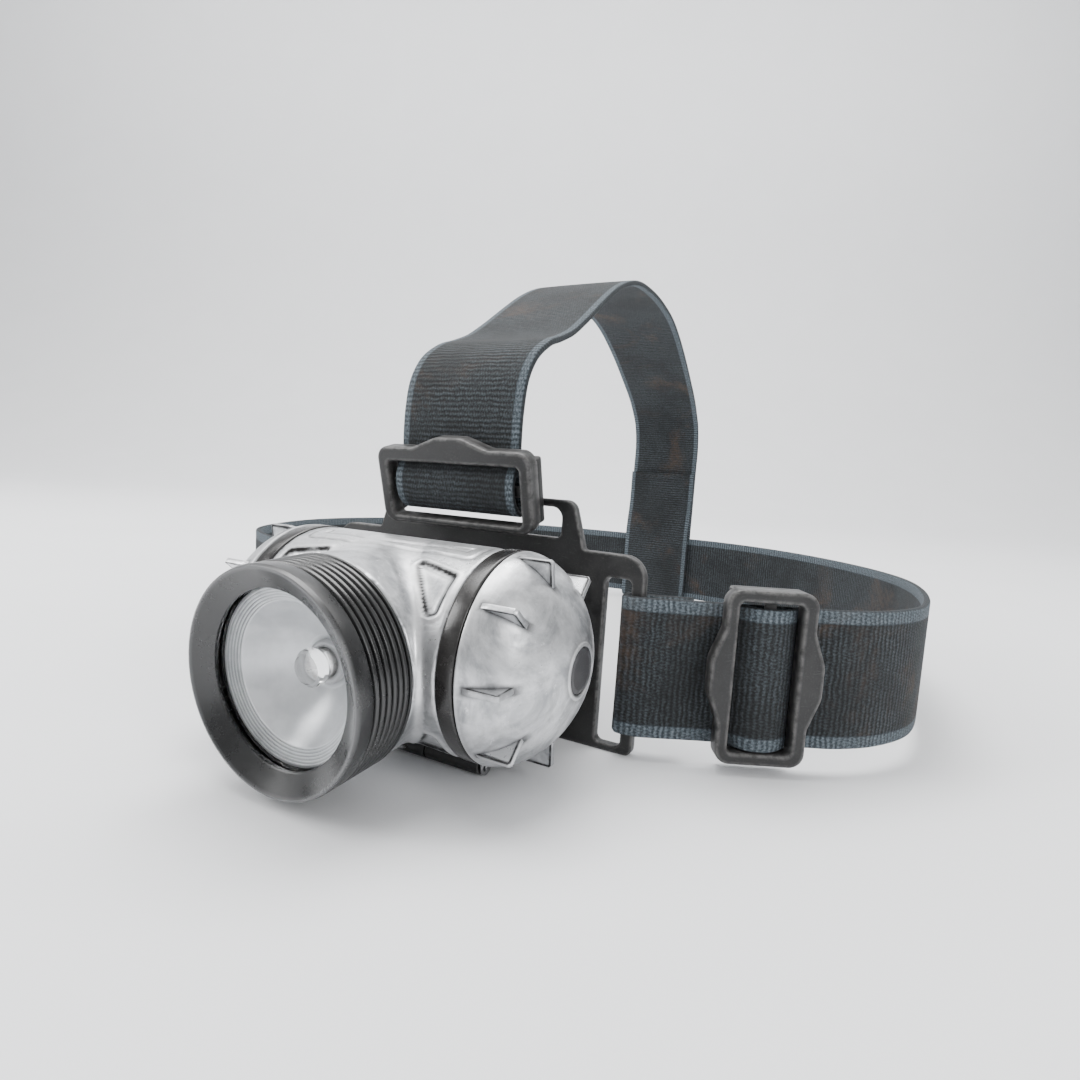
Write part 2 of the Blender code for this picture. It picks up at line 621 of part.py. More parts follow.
def make_cap(side, frame, button):
    bore = BUTTON_R + 0.25
    outer = []
    shares = [0.985, 0.95, 0.88, 0.77, 0.62, 0.45]
    for share in shares:
        outer.append((CAP_R * share, dome(share)))
    for radius, rise in ((bore + 1.1, 0.0), (bore + 0.8, 0.3), (bore, 0.3)):
        outer.append((radius, dome(radius / CAP_R) + rise))
    seat = CAP_BASE + 3.35
    inner = [(bore, CAP_BASE + 12.6), (bore + 1.7, CAP_BASE + 12.4), (10.5, CAP_BASE + 10.4)]
    inner += [(14.0, CAP_BASE + 7.6), (16.2, CAP_BASE + 5.8), (16.2, seat)]
    skirt = [(SPIGOT_R + GAP, seat), (SPIGOT_R + GAP, CAP_START), (CAP_R - 0.3, CAP_START)]
    cap = revolve(f"{side}_cap", skirt + outer + inner, SILVER, frame, 36)
    web = [(18.9, FIN_START), (20.0, FIN_START), (FIN_R, FIN_START + 1.4), (FIN_R, FIN_END - 0.6)]
    web += [(FIN_R - 0.6, FIN_END), (15.0, FIN_END), (14.6, FIN_END - 1.0)]
    web += [(17.0, FIN_START + 2.9), (18.9, FIN_START + 1.3)]
    fins = []
    for angle in FIN_ANGLES:
        turned = fin_frame(frame, angle)
        fins.append(prism(f"{side}_fin{angle:.0f}", web, -FIN_THICK / 2, FIN_THICK / 2, SILVER, turned))
    combine(cap, fins, "UNION")
    low, high = SPIGOT_END + 0.15, SPIGOT_END + 0.55
    ring = [(16.9, low), (SPIGOT_R, low), (SPIGOT_R, high), (16.9, high)]
    revolve(f"{side}_cap_gasket", ring, RUBBER, frame)
    rod(f"{side}_contact_board", 15.8, CAP_BASE + 1.1, CAP_BASE + 2.3, BOARD, frame, 32)
    for i, centre in enumerate(cell_centres()):
        coil(f"{side}_spring_{i + 1}", 3.0, 0.25, CAP_BASE - 1.15, CAP_BASE + 0.95, 2, frame, centre)
    top = dome(bore / CAP_R) - 0.1
    under = CAP_BASE + 11.3
    flange = BUTTON_R + 1.35
    head = [(0, under), (flange, under), (flange, under + 0.8), (BUTTON_R, under + 0.8)]
    head += [(BUTTON_R, top - 0.5), (BUTTON_R - 0.5, top)]
    revolve(button, head + [(0, top)], BLACK, frame, 32)


def fin_frame(frame, degrees):
    """Local x outwards and local y along the cap's axis, for a fin this far above the front."""
    angle = math.radians(degrees)
    outwards = Vector((0, -math.cos(angle), math.sin(angle)))
    along = Vector((1 if frame is RIGHT else -1, 0, 0))
    across = outwards.cross(along)
    local = Matrix((outwards, along, across)).transposed().to_4x4()
    return LAMP @ local


def make_switch():
    body = block("tact_switch", (-3, -3, CAP_BASE + 2.55), (3, 3, CAP_BASE + 6.0), BLACK, RIGHT)
    plunger = rod("plunger", 1.6, CAP_BASE + 3.4, CAP_BASE + 10.1, BLACK, RIGHT, 16)
    combine(body, [plunger], "UNION")


# ---- sliders ----
def slider_frame_shape(name, half, window, window_x, low, back, placed, swells):
    """A rectangular slider with a bar across its window and rails that hold the strap's edges.
    window_x is the middle of the window, and swells holds the sides whose bar swells outwards."""
    half_x, half_y = half
    high = low + SLIDER_DEPTH
    right = [(half_x, -half_y), (half_x, half_y)]
    left = [(-half_x, half_y), (-half_x, -half_y)]
    radii = {1: [SLIDER_CORNER_R] * 2, -1: [SLIDER_CORNER_R] * 2}
    sides = {1: right, -1: left}
    for side in swells:
        first, last = sides[side]
        turn = -1 if side > 0 else 1
        middle = [(side * half_x, turn * 9.5), (side * (half_x + SLIDER_BULGE), turn * 3.0)]
        middle += [(x, -y) for x, y in reversed(middle)]
        sides[side] = [first] + middle + [last]
        radii[side] = [SLIDER_CORNER_R, 5.0, 5.0, 5.0, 5.0, SLIDER_CORNER_R]
    made = prism(name, rounded(sides[1] + sides[-1], radii[1] + radii[-1], 3), low, high, DARK, placed)
    rails = []
    for end in (-1, 1):
        span = sorted((end * (window[1] + 0.35), end * (half_y - 0.6)))
        rail = block(f"rail{end}", (-half_x + 2.2, span[0], back), (half_x - 2.2, span[1], low + 1), DARK, placed)
        rails.append(rail)
    combine(made, rails, "UNION")
    opening = [(window_x + x, y) for x, y in box_outline(*window)]
    combine(made, [prism("window", rounded(opening, 1.2, 3), low - 5, high + 5, DARK, placed)], "DIFFERENCE")
    bar = block("bar", (-1.2, -window[1] - 1, low + 1.4), (1.2, window[1] + 1, low + 2.3), DARK, placed)
    return combine(made, [bar], "UNION")


def make_fold(name, placed, low, reach, width):
    """The webbing's hump over a slider's bar."""
    rising = [(reach, 0.0), (3.6, 0.5), (2.6, 1.7), (1.6, 2.35)]
    hump = [(-x, z) for x, z in rising] + [(0.0, 2.5)] + rising[::-1]
    points = [placed @ Vector((x, 0, low + z)) for x, z in hump]
    across = placed.to_3x3() @ Vector((0, 1, 0))
    return ribbon(name, points, [across] * len(points), width, FOLD_THICK, WEBBING)


def make_sliders():
    low = BAND_THICK / 2 + GAP
    slider_frame_shape("right_slider", (9.2, 18.2), (6.5, 15.7), -0.2, low, -low - 0.6, BAND_SLIDER, (-1, 1))
    make_fold("right_slider_fold", BAND_SLIDER @ Matrix.Translation((0, -0.5, 0)), low + 0.7, 5.6, BAND_WIDTH)
    slider_frame_shape("top_slider", (9.0, 20.3), (6.5, 17.6), -0.8, 0.0, -2.0, CROWN_SLIDER, (1,))
    make_fold("top_slider_fold", CROWN_SLIDER, 0.85, 5.2, TOP_WIDTH)


def make_axes():
    """Empties on the joints' axes, so that each moving group can be turned or slid as one."""
    lamp = ["housing", "tilt_foot", "foot_screw_left", "foot_screw_right", "battery_spacer", "bulb_socket",
            "socket_screw_1", "socket_screw_2", "bulb_base", "bulb_glass", "socket_spring", "right_seal_band",
            "left_seal_band", "neck_oring"]
    lamp += [f"battery_{i + 1}" for i in range(CELLS)]
    tilt = joint_axis("lamp_tilt_axis", PIN, lamp)
    joint_axis("focus_slide_axis", FRONT, ["lens", "lens_gasket", "reflector", "lens_retainer"], tilt)
    joint_axis("focus_turn_axis", FRONT, ["focus_ring"], tilt)
    for side, frame in (("right", RIGHT), ("left", LEFT)):
        springs = [f"{side}_spring_{i + 1}" for i in range(CELLS)]
        held = [f"{side}_contact_board"] + springs + (["tact_switch"] if frame is RIGHT else [])
        slide = joint_axis(f"{side}_cap_slide_axis", frame, held, tilt)
        cap = [f"{side}_cap", f"{side}_cap_gasket"] + ([] if frame is RIGHT else ["left_cap_plug"])
        joint_axis(f"{side}_cap_turn_axis", frame, cap, slide)
        if frame is RIGHT:
            joint_axis("button_press_axis", frame, ["power_button"], slide)
    along_band = BAND_SLIDER @ Matrix.Rotation(math.radians(90), 4, "Y")
    joint_axis("band_slider_axis", along_band, ["right_slider", "right_slider_fold"])
    along_top = CROWN_SLIDER @ Matrix.Rotation(math.radians(90), 4, "Y")
    joint_axis("crown_slider_axis", along_top, ["top_slider", "top_slider_fold"])


make_bracket()
make_hinge()
make_headband()
make_top_strap()
make_housing()
make_tilt_foot()
make_cells()
make_seals()
make_light()
make_focus()
make_cap("right", RIGHT, "power_button")
make_cap("left", LEFT, "left_cap_plug")
make_switch()
make_sliders()
make_axes()
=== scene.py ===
"""The looks of a camping headlamp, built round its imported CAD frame. Lengths are in millimetres
in the code and become metres as each mesh is made. The lamp shines along -Y."""

import json
import math

import bmesh
import bpy
import numpy as np
from mathutils import Matrix, Vector


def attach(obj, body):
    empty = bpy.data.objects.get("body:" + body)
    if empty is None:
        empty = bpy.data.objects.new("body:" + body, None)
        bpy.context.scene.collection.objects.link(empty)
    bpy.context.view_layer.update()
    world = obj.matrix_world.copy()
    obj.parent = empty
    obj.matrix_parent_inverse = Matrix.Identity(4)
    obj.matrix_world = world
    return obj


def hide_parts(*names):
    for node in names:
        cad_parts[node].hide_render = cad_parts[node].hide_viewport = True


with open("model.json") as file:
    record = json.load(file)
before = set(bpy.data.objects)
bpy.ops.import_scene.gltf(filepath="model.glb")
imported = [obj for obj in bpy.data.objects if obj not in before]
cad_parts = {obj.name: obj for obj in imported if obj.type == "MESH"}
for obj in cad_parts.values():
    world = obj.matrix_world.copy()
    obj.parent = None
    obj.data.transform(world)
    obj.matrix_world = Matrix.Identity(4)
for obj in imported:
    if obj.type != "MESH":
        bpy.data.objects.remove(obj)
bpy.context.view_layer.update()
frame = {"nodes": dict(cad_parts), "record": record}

MM = 0.001

# ---- sizes shared with the CAD, in millimetres ----
FLOOR_Z = -24.4
LAMP_Y = -26.8
TILT_REST = 3.9
BODY_R, BODY_HALF, SPIGOT_R = 20.0, 23.15, 18.2
BAND_R = 20.25
BAND_START, BAND_END = 23.3, 26.6
CAP_START, CAP_BASE, CAP_R, CAP_DOME, CAP_POWER = 26.9, 26.6, 20.3, 14.8, 1.8
FIN_ANGLES = (-91.0, -40.0, 1.0, 42.5, 83.0, 137.0)   # degrees above the front
FIN_THICK, BUTTON_R = 1.1, 4.25
NECK_R, NECK_FRONT, THREAD_R = 19.6, 20.9, 17.4
RING_R, RING_BACK, RING_FRONT, LENS_OPENING_R, LENS_R, RIBS = 20.0, 21.2, 34.5, 15.7, 16.6, 6
PLATE_HALF, PLATE_THICK, SLOT_INNER = 43.2, 2.5, 40.5
BAND_WIDTH, BAND_THICK, BAND_MID_Z, BAND_REAR_DROP = 30.0, 1.6, -4.2, 2.7
REAR_X, REAR_Y, REAR_SLOPE = -14.5, 188.9, 0.045
TOP_WIDTH, TOP_THICK = 32.0, 1.6
SLIDER_X, SLIDER_Y, SLIDER_TURN, CROWN_LEAN = 67.2, 9.0, 27.6, 15.0
SHELF_HALF, SHELF_TOP, PIN_Y, PIN_Z, KNUCKLE_R, LUG_HALF = 21.8, -22.2, -27.8, -22.45, 1.85, 8.7
GAP = 0.25
FOLD_THICK = 1.1
RIB_PITCH, YARN_PITCH = 1.15, 0.7
STEP_RINGS, STEP_WIDTH = 5, 0.5

LAMP = Matrix.Translation((0, LAMP_Y, 0)) @ Matrix.Rotation(math.radians(TILT_REST), 4, "X")
FRONT = LAMP @ Matrix.Rotation(math.radians(90), 4, "X")
RIGHT = LAMP @ Matrix.Rotation(math.radians(90), 4, "Y")
LEFT = LAMP @ Matrix.Rotation(math.radians(-90), 4, "Y")
BAND_SLIDER = (
    Matrix.Translation((SLIDER_X, SLIDER_Y, BAND_MID_Z))
    @ Matrix.Rotation(math.radians(SLIDER_TURN), 4, "Z")
    @ Matrix.Rotation(math.radians(90), 4, "X")
    @ Matrix.Translation((-1.2, 0.5, 0))
)
CROWN_SLIDER = (
    Matrix.Translation((0.3, -9.1, 31.2))
    @ Matrix.Rotation(math.radians(CROWN_LEAN), 4, "X")
    @ Matrix(((0, -1, 0, 0), (0, 0, -1, 0), (1, 0, 0, 0), (0, 0, 0, 1)))
)


# ---- node helpers ----
def srgb(*values):
    """A colour given as it looks on a screen, 0 to 255, as linear light."""
    linear = []
    for value in values:
        v = value / 255
        linear.append(v / 12.92 if v <= 0.04045 else ((v + 0.055) / 1.055) ** 2.4)
    return (*linear, 1.0)


class Nodes:
    """Short calls for building one material's node tree."""

    def __init__(self, name):
        self.material = bpy.data.materials.new(name)
        self.material.use_nodes = True
        self.tree = self.material.node_tree
        self.shader = self.tree.nodes["Principled BSDF"]

    def add(self, kind, inputs=None, **settings):
        node = self.tree.nodes.new(kind)
        for key, value in settings.items():
            setattr(node, key, value)
        for key, value in (inputs or {}).items():
            self.feed(node.inputs[key], value)
        return node

    def feed(self, socket, value):
        if isinstance(value, bpy.types.NodeSocket):
            self.tree.links.new(value, socket)
        else:
            socket.default_value = value

    def maths(self, operation, a, b=None, c=None, clamp=False):
        node = self.add("ShaderNodeMath", operation=operation, use_clamp=clamp)
        for socket, value in zip(node.inputs, (a, b, c)):
            if value is not None:
                self.feed(socket, value)
        return node.outputs[0]

    def spread(self, value, low, high, to_low=0.0, to_high=1.0, smooth=True):
        node = self.add("ShaderNodeMapRange", interpolation_type="SMOOTHSTEP" if smooth else "LINEAR")
        for key, given in (("Value", value), ("From Min", low), ("From Max", high),
                           ("To Min", to_low), ("To Max", to_high)):
            self.feed(node.inputs[key], given)
        return node.outputs["Result"]

    def mix(self, share, a, b, blend="MIX"):
        node = self.add("ShaderNodeMix", data_type="RGBA", blend_type=blend)
        self.feed(node.inputs["Factor"], share)
        colours = [s for s in node.inputs if s.type == "RGBA"]
        self.feed(colours[0], a)
        self.feed(colours[1], b)
        return [s for s in node.outputs if s.type == "RGBA"][0]

    def place(self, scale=(1, 1, 1), kind="Object"):
        """Coordinates in millimetres."""
        source = self.add("ShaderNodeTexCoord").outputs[kind]
        mapping = self.add("ShaderNodeMapping", {"Vector": source})
        mapping.inputs["Scale"].default_value = [1000 * s for s in scale]
        return mapping.outputs[0]

    def noise(self, vector, scale, detail=4.0, roughness=0.55, distortion=0.0):
        """scale is in waves per millimetre."""
        node = self.add("ShaderNodeTexNoise", {"Vector": vector, "Scale": scale, "Detail": detail,
                                               "Roughness": roughness, "Distortion": distortion})
        return node.outputs[0]

    def attribute(self, name):
        return self.add("ShaderNodeAttribute", attribute_name=name).outputs["Fac"]

    def bump(self, height, distance_mm, strength=1.0, normal=None):
        inputs = {"Height": height, "Distance": distance_mm * MM, "Strength": strength}
        node = self.add("ShaderNodeBump", inputs)
        if normal is not None:
            self.feed(node.inputs["Normal"], normal)
        return node.outputs[0]

    def set(self, **values):
        for key, value in values.items():
            self.feed(self.shader.inputs[key.replace("_", " ")], value)
        return self


# ---- materials ----
def silver_material():
    """Satin silver paint: smudges, fine scratches, painted shade with grime in corners and creases, painted
    highlights along edges and creases.
    """
    n = Nodes("silver_paint")
    at = n.place()
    smudge = n.spread(n.noise(at, 0.06, 5, 0.62, 0.8), 0.40, 0.66)
    cloud = n.spread(n.noise(at, 0.19, 6, 0.68, 0.4), 0.38, 0.70)
    fine = n.noise(at, 1.3, 5, 0.6)
    base = n.mix(smudge, srgb(214, 215, 217), srgb(140, 142, 145))
    base = n.mix(n.maths("MULTIPLY", cloud, 0.5), base, srgb(236, 237, 239))
    wiped = n.spread(n.noise(n.place((0.14, 0.9, 0.9)), 0.9, 4, 0.6, 0.3), 0.56, 0.72, 0, 0.35)
    base = n.mix(wiped, base, srgb(168, 170, 172))
    scuffs = n.spread(n.noise(at, 0.42, 5, 0.75, 0.5), 0.60, 0.72, 0, 0.5)
    base = n.mix(scuffs, base, srgb(246, 246, 248))
    speck = n.spread(n.noise(at, 1.1, 3, 0.7), 0.69, 0.75, 0, 0.5)
    base = n.mix(speck, base, srgb(104, 102, 100))
    # Painted shade and grime from the mesh's mark, broken up by noise, in corners, creases and where parts
    # meet.
    broken = n.spread(n.noise(at, 0.45, 4, 0.6), 0.25, 0.55, 0.6, 1.0)
    grime_and_shade = n.maths("MULTIPLY", n.attribute("grime_and_shade"), broken, clamp=True)
    base = n.mix(grime_and_shade, base, srgb(30, 29, 29))
    # Painted highlight from the mesh's highlight mark, along raised edges and creases.
    base = n.mix(n.maths("MULTIPLY", n.attribute("painted_highlight"), 0.85), base, srgb(250, 250, 251))
    rough = n.spread(fine, 0.3, 0.7, 0.24, 0.36, False)
    rough = n.maths("ADD", rough, n.maths("MULTIPLY", smudge, 0.12))
    rough = n.maths("ADD", rough, n.maths("MULTIPLY", grime_and_shade, 0.3), clamp=True)
    scratch = n.spread(n.noise(n.place((0.3, 2.2, 0.5)), 1.6, 2, 0.5, 0.4), 0.47, 0.5)
    height = n.maths("ADD", n.maths("MULTIPLY", fine, 0.35), n.maths("MULTIPLY", scratch, 0.15))
    n.set(Base_Color=base, Metallic=0.8, Roughness=rough, Normal=n.bump(height, 0.06, 0.6))
    n.set(Coat_Weight=0.12, Coat_Roughness=0.15)
    return n.material


def plastic_material(name, dark, worn, roughness, grain=0.9, edge=True, metallic=0.0):
    """Moulded plastic: fine grain, dusty patches, and edges rubbed lighter."""
    n = Nodes(name)
    at = n.place()
    patches = n.spread(n.noise(at, 0.11, 5, 0.62, 0.3), 0.35, 0.7)
    fine = n.noise(at, grain * 3, 4, 0.6)
    base = n.mix(n.maths("MULTIPLY", patches, 0.3), dark, n.mix(0.35, dark, worn))
    base = n.mix(n.spread(fine, 0.5, 0.8, 0, 0.12), base, worn)
    if edge:
        chipped = n.spread(n.noise(at, 0.55, 5, 0.65), 0.34, 0.62, 0.1, 0.6)
        base = n.mix(n.maths("MULTIPLY", n.attribute("wear"), chipped), base, worn)
    scuff = n.spread(n.noise(n.place((0.4, 0.4, 2.5)), 0.8, 4, 0.7, 0.5), 0.62, 0.7, 0, 0.2)
    base = n.mix(scuff, base, worn)
    rough = n.spread(patches, 0, 1, roughness - 0.07, roughness + 0.1, False)
    n.set(Base_Color=base, Metallic=metallic, Roughness=rough, Normal=n.bump(fine, 0.05, 0.55))
    return n.material


def webbing_material(name, half, stripe):
    """Knitted elastic: ribs across the strap, speckled yarn, paler edge stripes, brown wear."""
    n = Nodes(name)
    uv = n.add("ShaderNodeUVMap", uv_map="strap").outputs[0]
    split = n.add("ShaderNodeSeparateXYZ", {"Vector": uv})
    along = n.maths("MULTIPLY", split.outputs[0], 1000.0)
    across = n.maths("MULTIPLY", split.outputs[1], 1000.0)
    flat = n.add("ShaderNodeCombineXYZ", {"X": along, "Y": across}).outputs[0]
    wobble = n.maths("MULTIPLY", n.maths("SUBTRACT", n.noise(flat, 0.35, 3), 0.5), 1.3)
    wavy = n.maths("ADD", along, wobble)
    ribs = n.maths("SINE", n.maths("MULTIPLY", wavy, 2 * math.pi / RIB_PITCH))
    column = n.maths("FLOOR", n.maths("DIVIDE", wavy, RIB_PITCH))
    shifted = n.maths("ADD", across, n.maths("MULTIPLY", n.maths("MODULO", column, 2.0), YARN_PITCH / 2))
    shifted = n.maths("ADD", shifted, n.maths("MULTIPLY", n.noise(flat, 1.1, 2), 0.8))
    rows = n.maths("SINE", n.maths("MULTIPLY", shifted, 2 * math.pi / YARN_PITCH))
    strength = n.spread(n.noise(flat, 0.09, 3, 0.6), 0.35, 0.65, 0.35, 1.0)
    yarn = n.maths("MULTIPLY_ADD", rows, 0.22, n.maths("MULTIPLY", ribs, n.maths("MULTIPLY", strength, 0.55)))
    fuzz = n.noise(flat, 1.9, 4, 0.8)
    coarse = n.noise(flat, 0.8, 4, 0.75)
    weave = n.maths("ADD", n.maths("MULTIPLY", yarn, 0.32), n.maths("MULTIPLY", fuzz, 1.35))
    # Painted light on the knit: raised yarn lighter and the hollows between yarns darker, under speckle
    # noise.
    lit = n.spread(weave, 0.42, 1.12)
    edge = n.spread(n.maths("ABSOLUTE", across), half - stripe - 0.2, half - stripe + 0.15)
    body = n.mix(lit, srgb(13, 15, 16), srgb(72, 79, 84))
    body = n.mix(n.spread(coarse, 0.42, 0.72, 0, 0.7), body, srgb(12, 14, 15))
    dark = n.spread(n.noise(flat, 0.05, 5, 0.65, 0.5), 0.42, 0.66)
    body = n.mix(n.maths("MULTIPLY", dark, 0.5), body, srgb(13, 15, 16))
    brown = n.spread(n.noise(n.place(), 0.038, 5, 0.68, 0.6), 0.53, 0.70)
    brown = n.maths("MULTIPLY", brown, n.spread(n.noise(flat, 0.5, 4, 0.75), 0.3, 0.7, 0.1, 0.6))
    body = n.mix(brown, body, srgb(78, 61, 49))
    trim = n.mix(lit, srgb(44, 51, 56), srgb(114, 125, 133))
    trim = n.mix(n.spread(coarse, 0.45, 0.75, 0, 0.45), trim, srgb(48, 55, 60))
    trim = n.mix(n.maths("MULTIPLY", brown, 0.5), trim, srgb(80, 76, 72))
    colour = n.mix(edge, body, trim)
    seam = n.maths("ABSOLUTE", n.maths("SUBTRACT", n.maths("ABSOLUTE", across), half - stripe))
    colour = n.mix(n.spread(seam, 0.0, 0.3, 0.5, 0.0), colour, srgb(34, 39, 44))
    selvedge = n.spread(n.maths("ABSOLUTE", across), half - 0.38, half - 0.12, 0.0, 0.85)
    colour = n.mix(selvedge, colour, srgb(24, 27, 30))
    # Darkens where the strap's mark is set, over its first 3 mm.
    colour = n.mix(n.attribute("grime_and_shade"), colour, srgb(14, 14, 15))
    height = n.maths("ADD", n.maths("MULTIPLY", yarn, n.spread(edge, 0, 1, 1.0, 0.5, False)),
                     n.maths("MULTIPLY", fuzz, 0.9))
    rough = n.spread(fuzz, 0.3, 0.7, 0.82, 0.98, False)
    n.set(Base_Color=colour, Roughness=rough, Normal=n.bump(height, 0.16, 0.9))
    return n.material


def bezel_material():
    """Black satin grip: smooth, faintly cloudy, with specks of grey dust, painted shade in its grooves and a
    painted highlight on its front lip.
    """
    n = Nodes("bezel_grip")
    at = n.place()
    cloud = n.spread(n.noise(at, 0.12, 5, 0.6), 0.3, 0.7)
    fine = n.noise(at, 2.4, 3, 0.6)
    base = n.mix(cloud, srgb(10, 10, 11), srgb(19, 20, 21))
    dust = n.spread(n.noise(at, 0.5, 5, 0.7), 0.6, 0.75, 0, 0.1)
    base = n.mix(dust, base, srgb(92, 93, 95))
    # Painted highlight on the front lip.
    base = n.mix(n.maths("MULTIPLY", n.attribute("painted_highlight"), 0.5), base, srgb(150, 151, 153))
    # Painted shade in the grooves between the ribs.
    base = n.mix(n.attribute("grime_and_shade"), base, srgb(8, 8, 8))
    rough = n.maths("ADD", n.spread(cloud, 0, 1, 0.22, 0.32, False), n.maths("MULTIPLY", fine, 0.05))
    n.set(Base_Color=base, Roughness=rough, Normal=n.bump(fine, 0.03, 0.4))
    n.set(Specular_IOR_Level=0.75)
    return n.material


def metal_material(name, colour, roughness, brushed=True, metallic=1.0):
    n = Nodes(name)
    at = n.place((0.25, 2.0, 2.0) if brushed else (1, 1, 1))
    lines = n.noise(at, 1.4, 4, 0.6)
    base = n.mix(n.spread(lines, 0.35, 0.7), colour, n.mix(0.3, colour, srgb(90, 88, 85)))
    rough = n.spread(lines, 0.3, 0.7, roughness - 0.05, roughness + 0.1, False)
    n.set(Base_Color=base, Metallic=metallic, Roughness=rough, Normal=n.bump(lines, 0.03, 0.4))
    return n.material


def reflector_material():
    """Pale satin reflector: a frosted bright coat over plastic, with faint cloudy marks and painted shade
    lines at its steps and round its central hole.
    """
    n = Nodes("reflector_coat")
    at = n.place()
    cloud = n.spread(n.noise(at, 0.18, 5, 0.6), 0.3, 0.7)
    fine = n.noise(at, 1.8, 3, 0.6)
    base = n.mix(cloud, srgb(206, 208, 210), srgb(232, 233, 235))
    # Painted shade lines at the steps' edges and round the central hole.
    base = n.mix(n.attribute("grime_and_shade"), base, srgb(96, 99, 101))
    rough = n.maths("ADD", n.spread(cloud, 0, 1, 0.30, 0.38, False), n.maths("MULTIPLY", fine, 0.06))
    n.set(Base_Color=base, Metallic=0.45, Roughness=rough, Normal=n.bump(fine, 0.04, 0.4))
    return n.material


def glass_material(name, tint, roughness, dusty, bend):
    """Clear glazing with a little dust and wipe marks on it."""
    n = Nodes(name)
    at = n.place()
    marks = n.spread(n.noise(n.place((0.5, 1.0, 1.4)), 0.5, 5, 0.7), 0.45, 0.75)
    rough = n.spread(marks, 0, 1, roughness, roughness + dusty, False)
    fine = n.noise(at, 0.8, 2, 0.5)
    n.set(Base_Color=tint, Roughness=rough, Normal=n.bump(fine, 0.02, 0.2))
    n.set(Transmission_Weight=1.0, IOR=bend)
    return n.material


SILVER = silver_material()
MOULDED = plastic_material("dark_moulding", srgb(13, 13, 14), srgb(104, 103, 102), 0.46)
BLACK = plastic_material("black_moulding", srgb(20, 20, 21), srgb(66, 66, 67), 0.45)
BUTTON = plastic_material("button_rubber", srgb(58, 58, 60), srgb(110, 110, 111), 0.42)
RUBBER = plastic_material("seal_rubber", srgb(34, 33, 33), srgb(98, 95, 92), 0.22, edge=False)
CELL = plastic_material("cell_sleeve", srgb(28, 72, 92), srgb(120, 140, 150), 0.35)
BOARD = plastic_material("board_mask", srgb(20, 84, 48), srgb(70, 130, 90), 0.4)
BEZEL = bezel_material()
STEEL = metal_material("steel", srgb(170, 170, 172), 0.32)
BRASS = metal_material("brass", srgb(196, 160, 92), 0.3)
REFLECTOR = reflector_material()
NICKEL = metal_material("nickel", srgb(214, 213, 211), 0.28)
LENS = glass_material("lens_clear", (0.97, 0.975, 0.98, 1), 0.02, 0.10, 1.16)
BULB = glass_material("bulb_clear", (1.0, 1.0, 1.0, 1), 0.0, 0.04, 1.35)
BAND_WEB = webbing_material("band_webbing", BAND_WIDTH / 2, 2.9)
TOP_WEB = webbing_material("top_webbing", TOP_WIDTH / 2, 2.1)
PALE = plastic_material("pale_moulding", srgb(196, 197, 198), srgb(214, 214, 214), 0.4, edge=False)
THREAD = plastic_material("sewing_thread", srgb(36, 39, 43), srgb(96, 100, 106), 0.8, edge=False)

SLOT_LOOKS = {
    "bracket": MOULDED, "slider": MOULDED, "black_moulding": BLACK, "housing": SILVER, "bezel": BEZEL,
    "button": BUTTON, "rubber": RUBBER, "glass": LENS, "reflector": REFLECTOR, "steel": STEEL,
    "brass": BRASS, "cell": CELL, "board": BOARD, "webbing": BAND_WEB,
}


# ---- mesh helpers ----
def make(name, vertices, faces, look, body, replaced=(), placed=None, marks=None, uv=None):
    """A smooth piece that rides on a CAD body. vertices are in millimetres."""
    points = np.array(vertices, float)
    if placed is not None:
        turn = np.array(placed)
        points = points @ turn[:3, :3].T + turn[:3, 3]
    mesh = bpy.data.meshes.new(name)
    mesh.from_pydata((points * MM).tolist(), [], faces)
    if uv is not None:
        layer = mesh.uv_layers.new(name="strap")
        loops = np.zeros(len(mesh.loops), np.int32)
        mesh.loops.foreach_get("vertex_index", loops)
        layer.data.foreach_set("uv", (np.array(uv, float)[loops] * MM).ravel())
    for key, values in (marks or {}).items():
        mesh.attributes.new(key, "FLOAT", "POINT").data.foreach_set("value", np.array(values, np.float32))
    mesh.validate()
    made = bpy.data.objects.new(name, mesh)
    bpy.context.scene.collection.objects.link(made)
    mesh.materials.append(look)
    smooth(mesh)
    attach(made, body)
    if replaced:
        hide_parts(*replaced)
    return made


def smooth(mesh, angle=38.0):
    mesh.shade_smooth()
    mesh.set_sharp_from_angle(angle=math.radians(angle))


def outward(made):
    """Turns every face outwards."""
    bm = bmesh.new()
    bm.from_mesh(made.data)
    bmesh.ops.recalc_face_normals(bm, faces=bm.faces)
    bm.to_mesh(made.data)
    bm.free()
    smooth(made.data)


def grid_faces(rows, columns, wrap_rows=False, wrap_columns=True):
    faces = []
    for r in range(rows if wrap_rows else rows - 1):
        s = (r + 1) % rows
        for c in range(columns if wrap_columns else columns - 1):
            d = (c + 1) % columns
            faces.append((r * columns + c, r * columns + d, s * columns + d, s * columns + c))
    return faces


def soften(profile, radius=0.3, steps=3):
    """Rounds each corner of a closed profile. A third value in a point is its own radius."""
    points = []
    count = len(profile)
    for i, entry in enumerate(profile):
        here = Vector(entry[:2])
        before = Vector(profile[i - 1][:2]) - here
        after = Vector(profile[(i + 1) % count][:2]) - here
        size = entry[2] if len(entry) > 2 else radius
        angle = before.angle(after, math.pi)
        if size < 0.02 or angle > math.radians(172) or here.x < 1e-6:
            points.append((here.x, here.y))
            continue
        reach = min(size / math.tan(angle / 2), before.length * 0.45, after.length * 0.45)
        start, end = here + before.normalized() * reach, here + after.normalized() * reach
        for k in range(steps + 1):
            t = k / steps
            point = start * (1 - t) ** 2 + here * 2 * t * (1 - t) + end * t * t
            points.append((point.x, point.y))
    return points


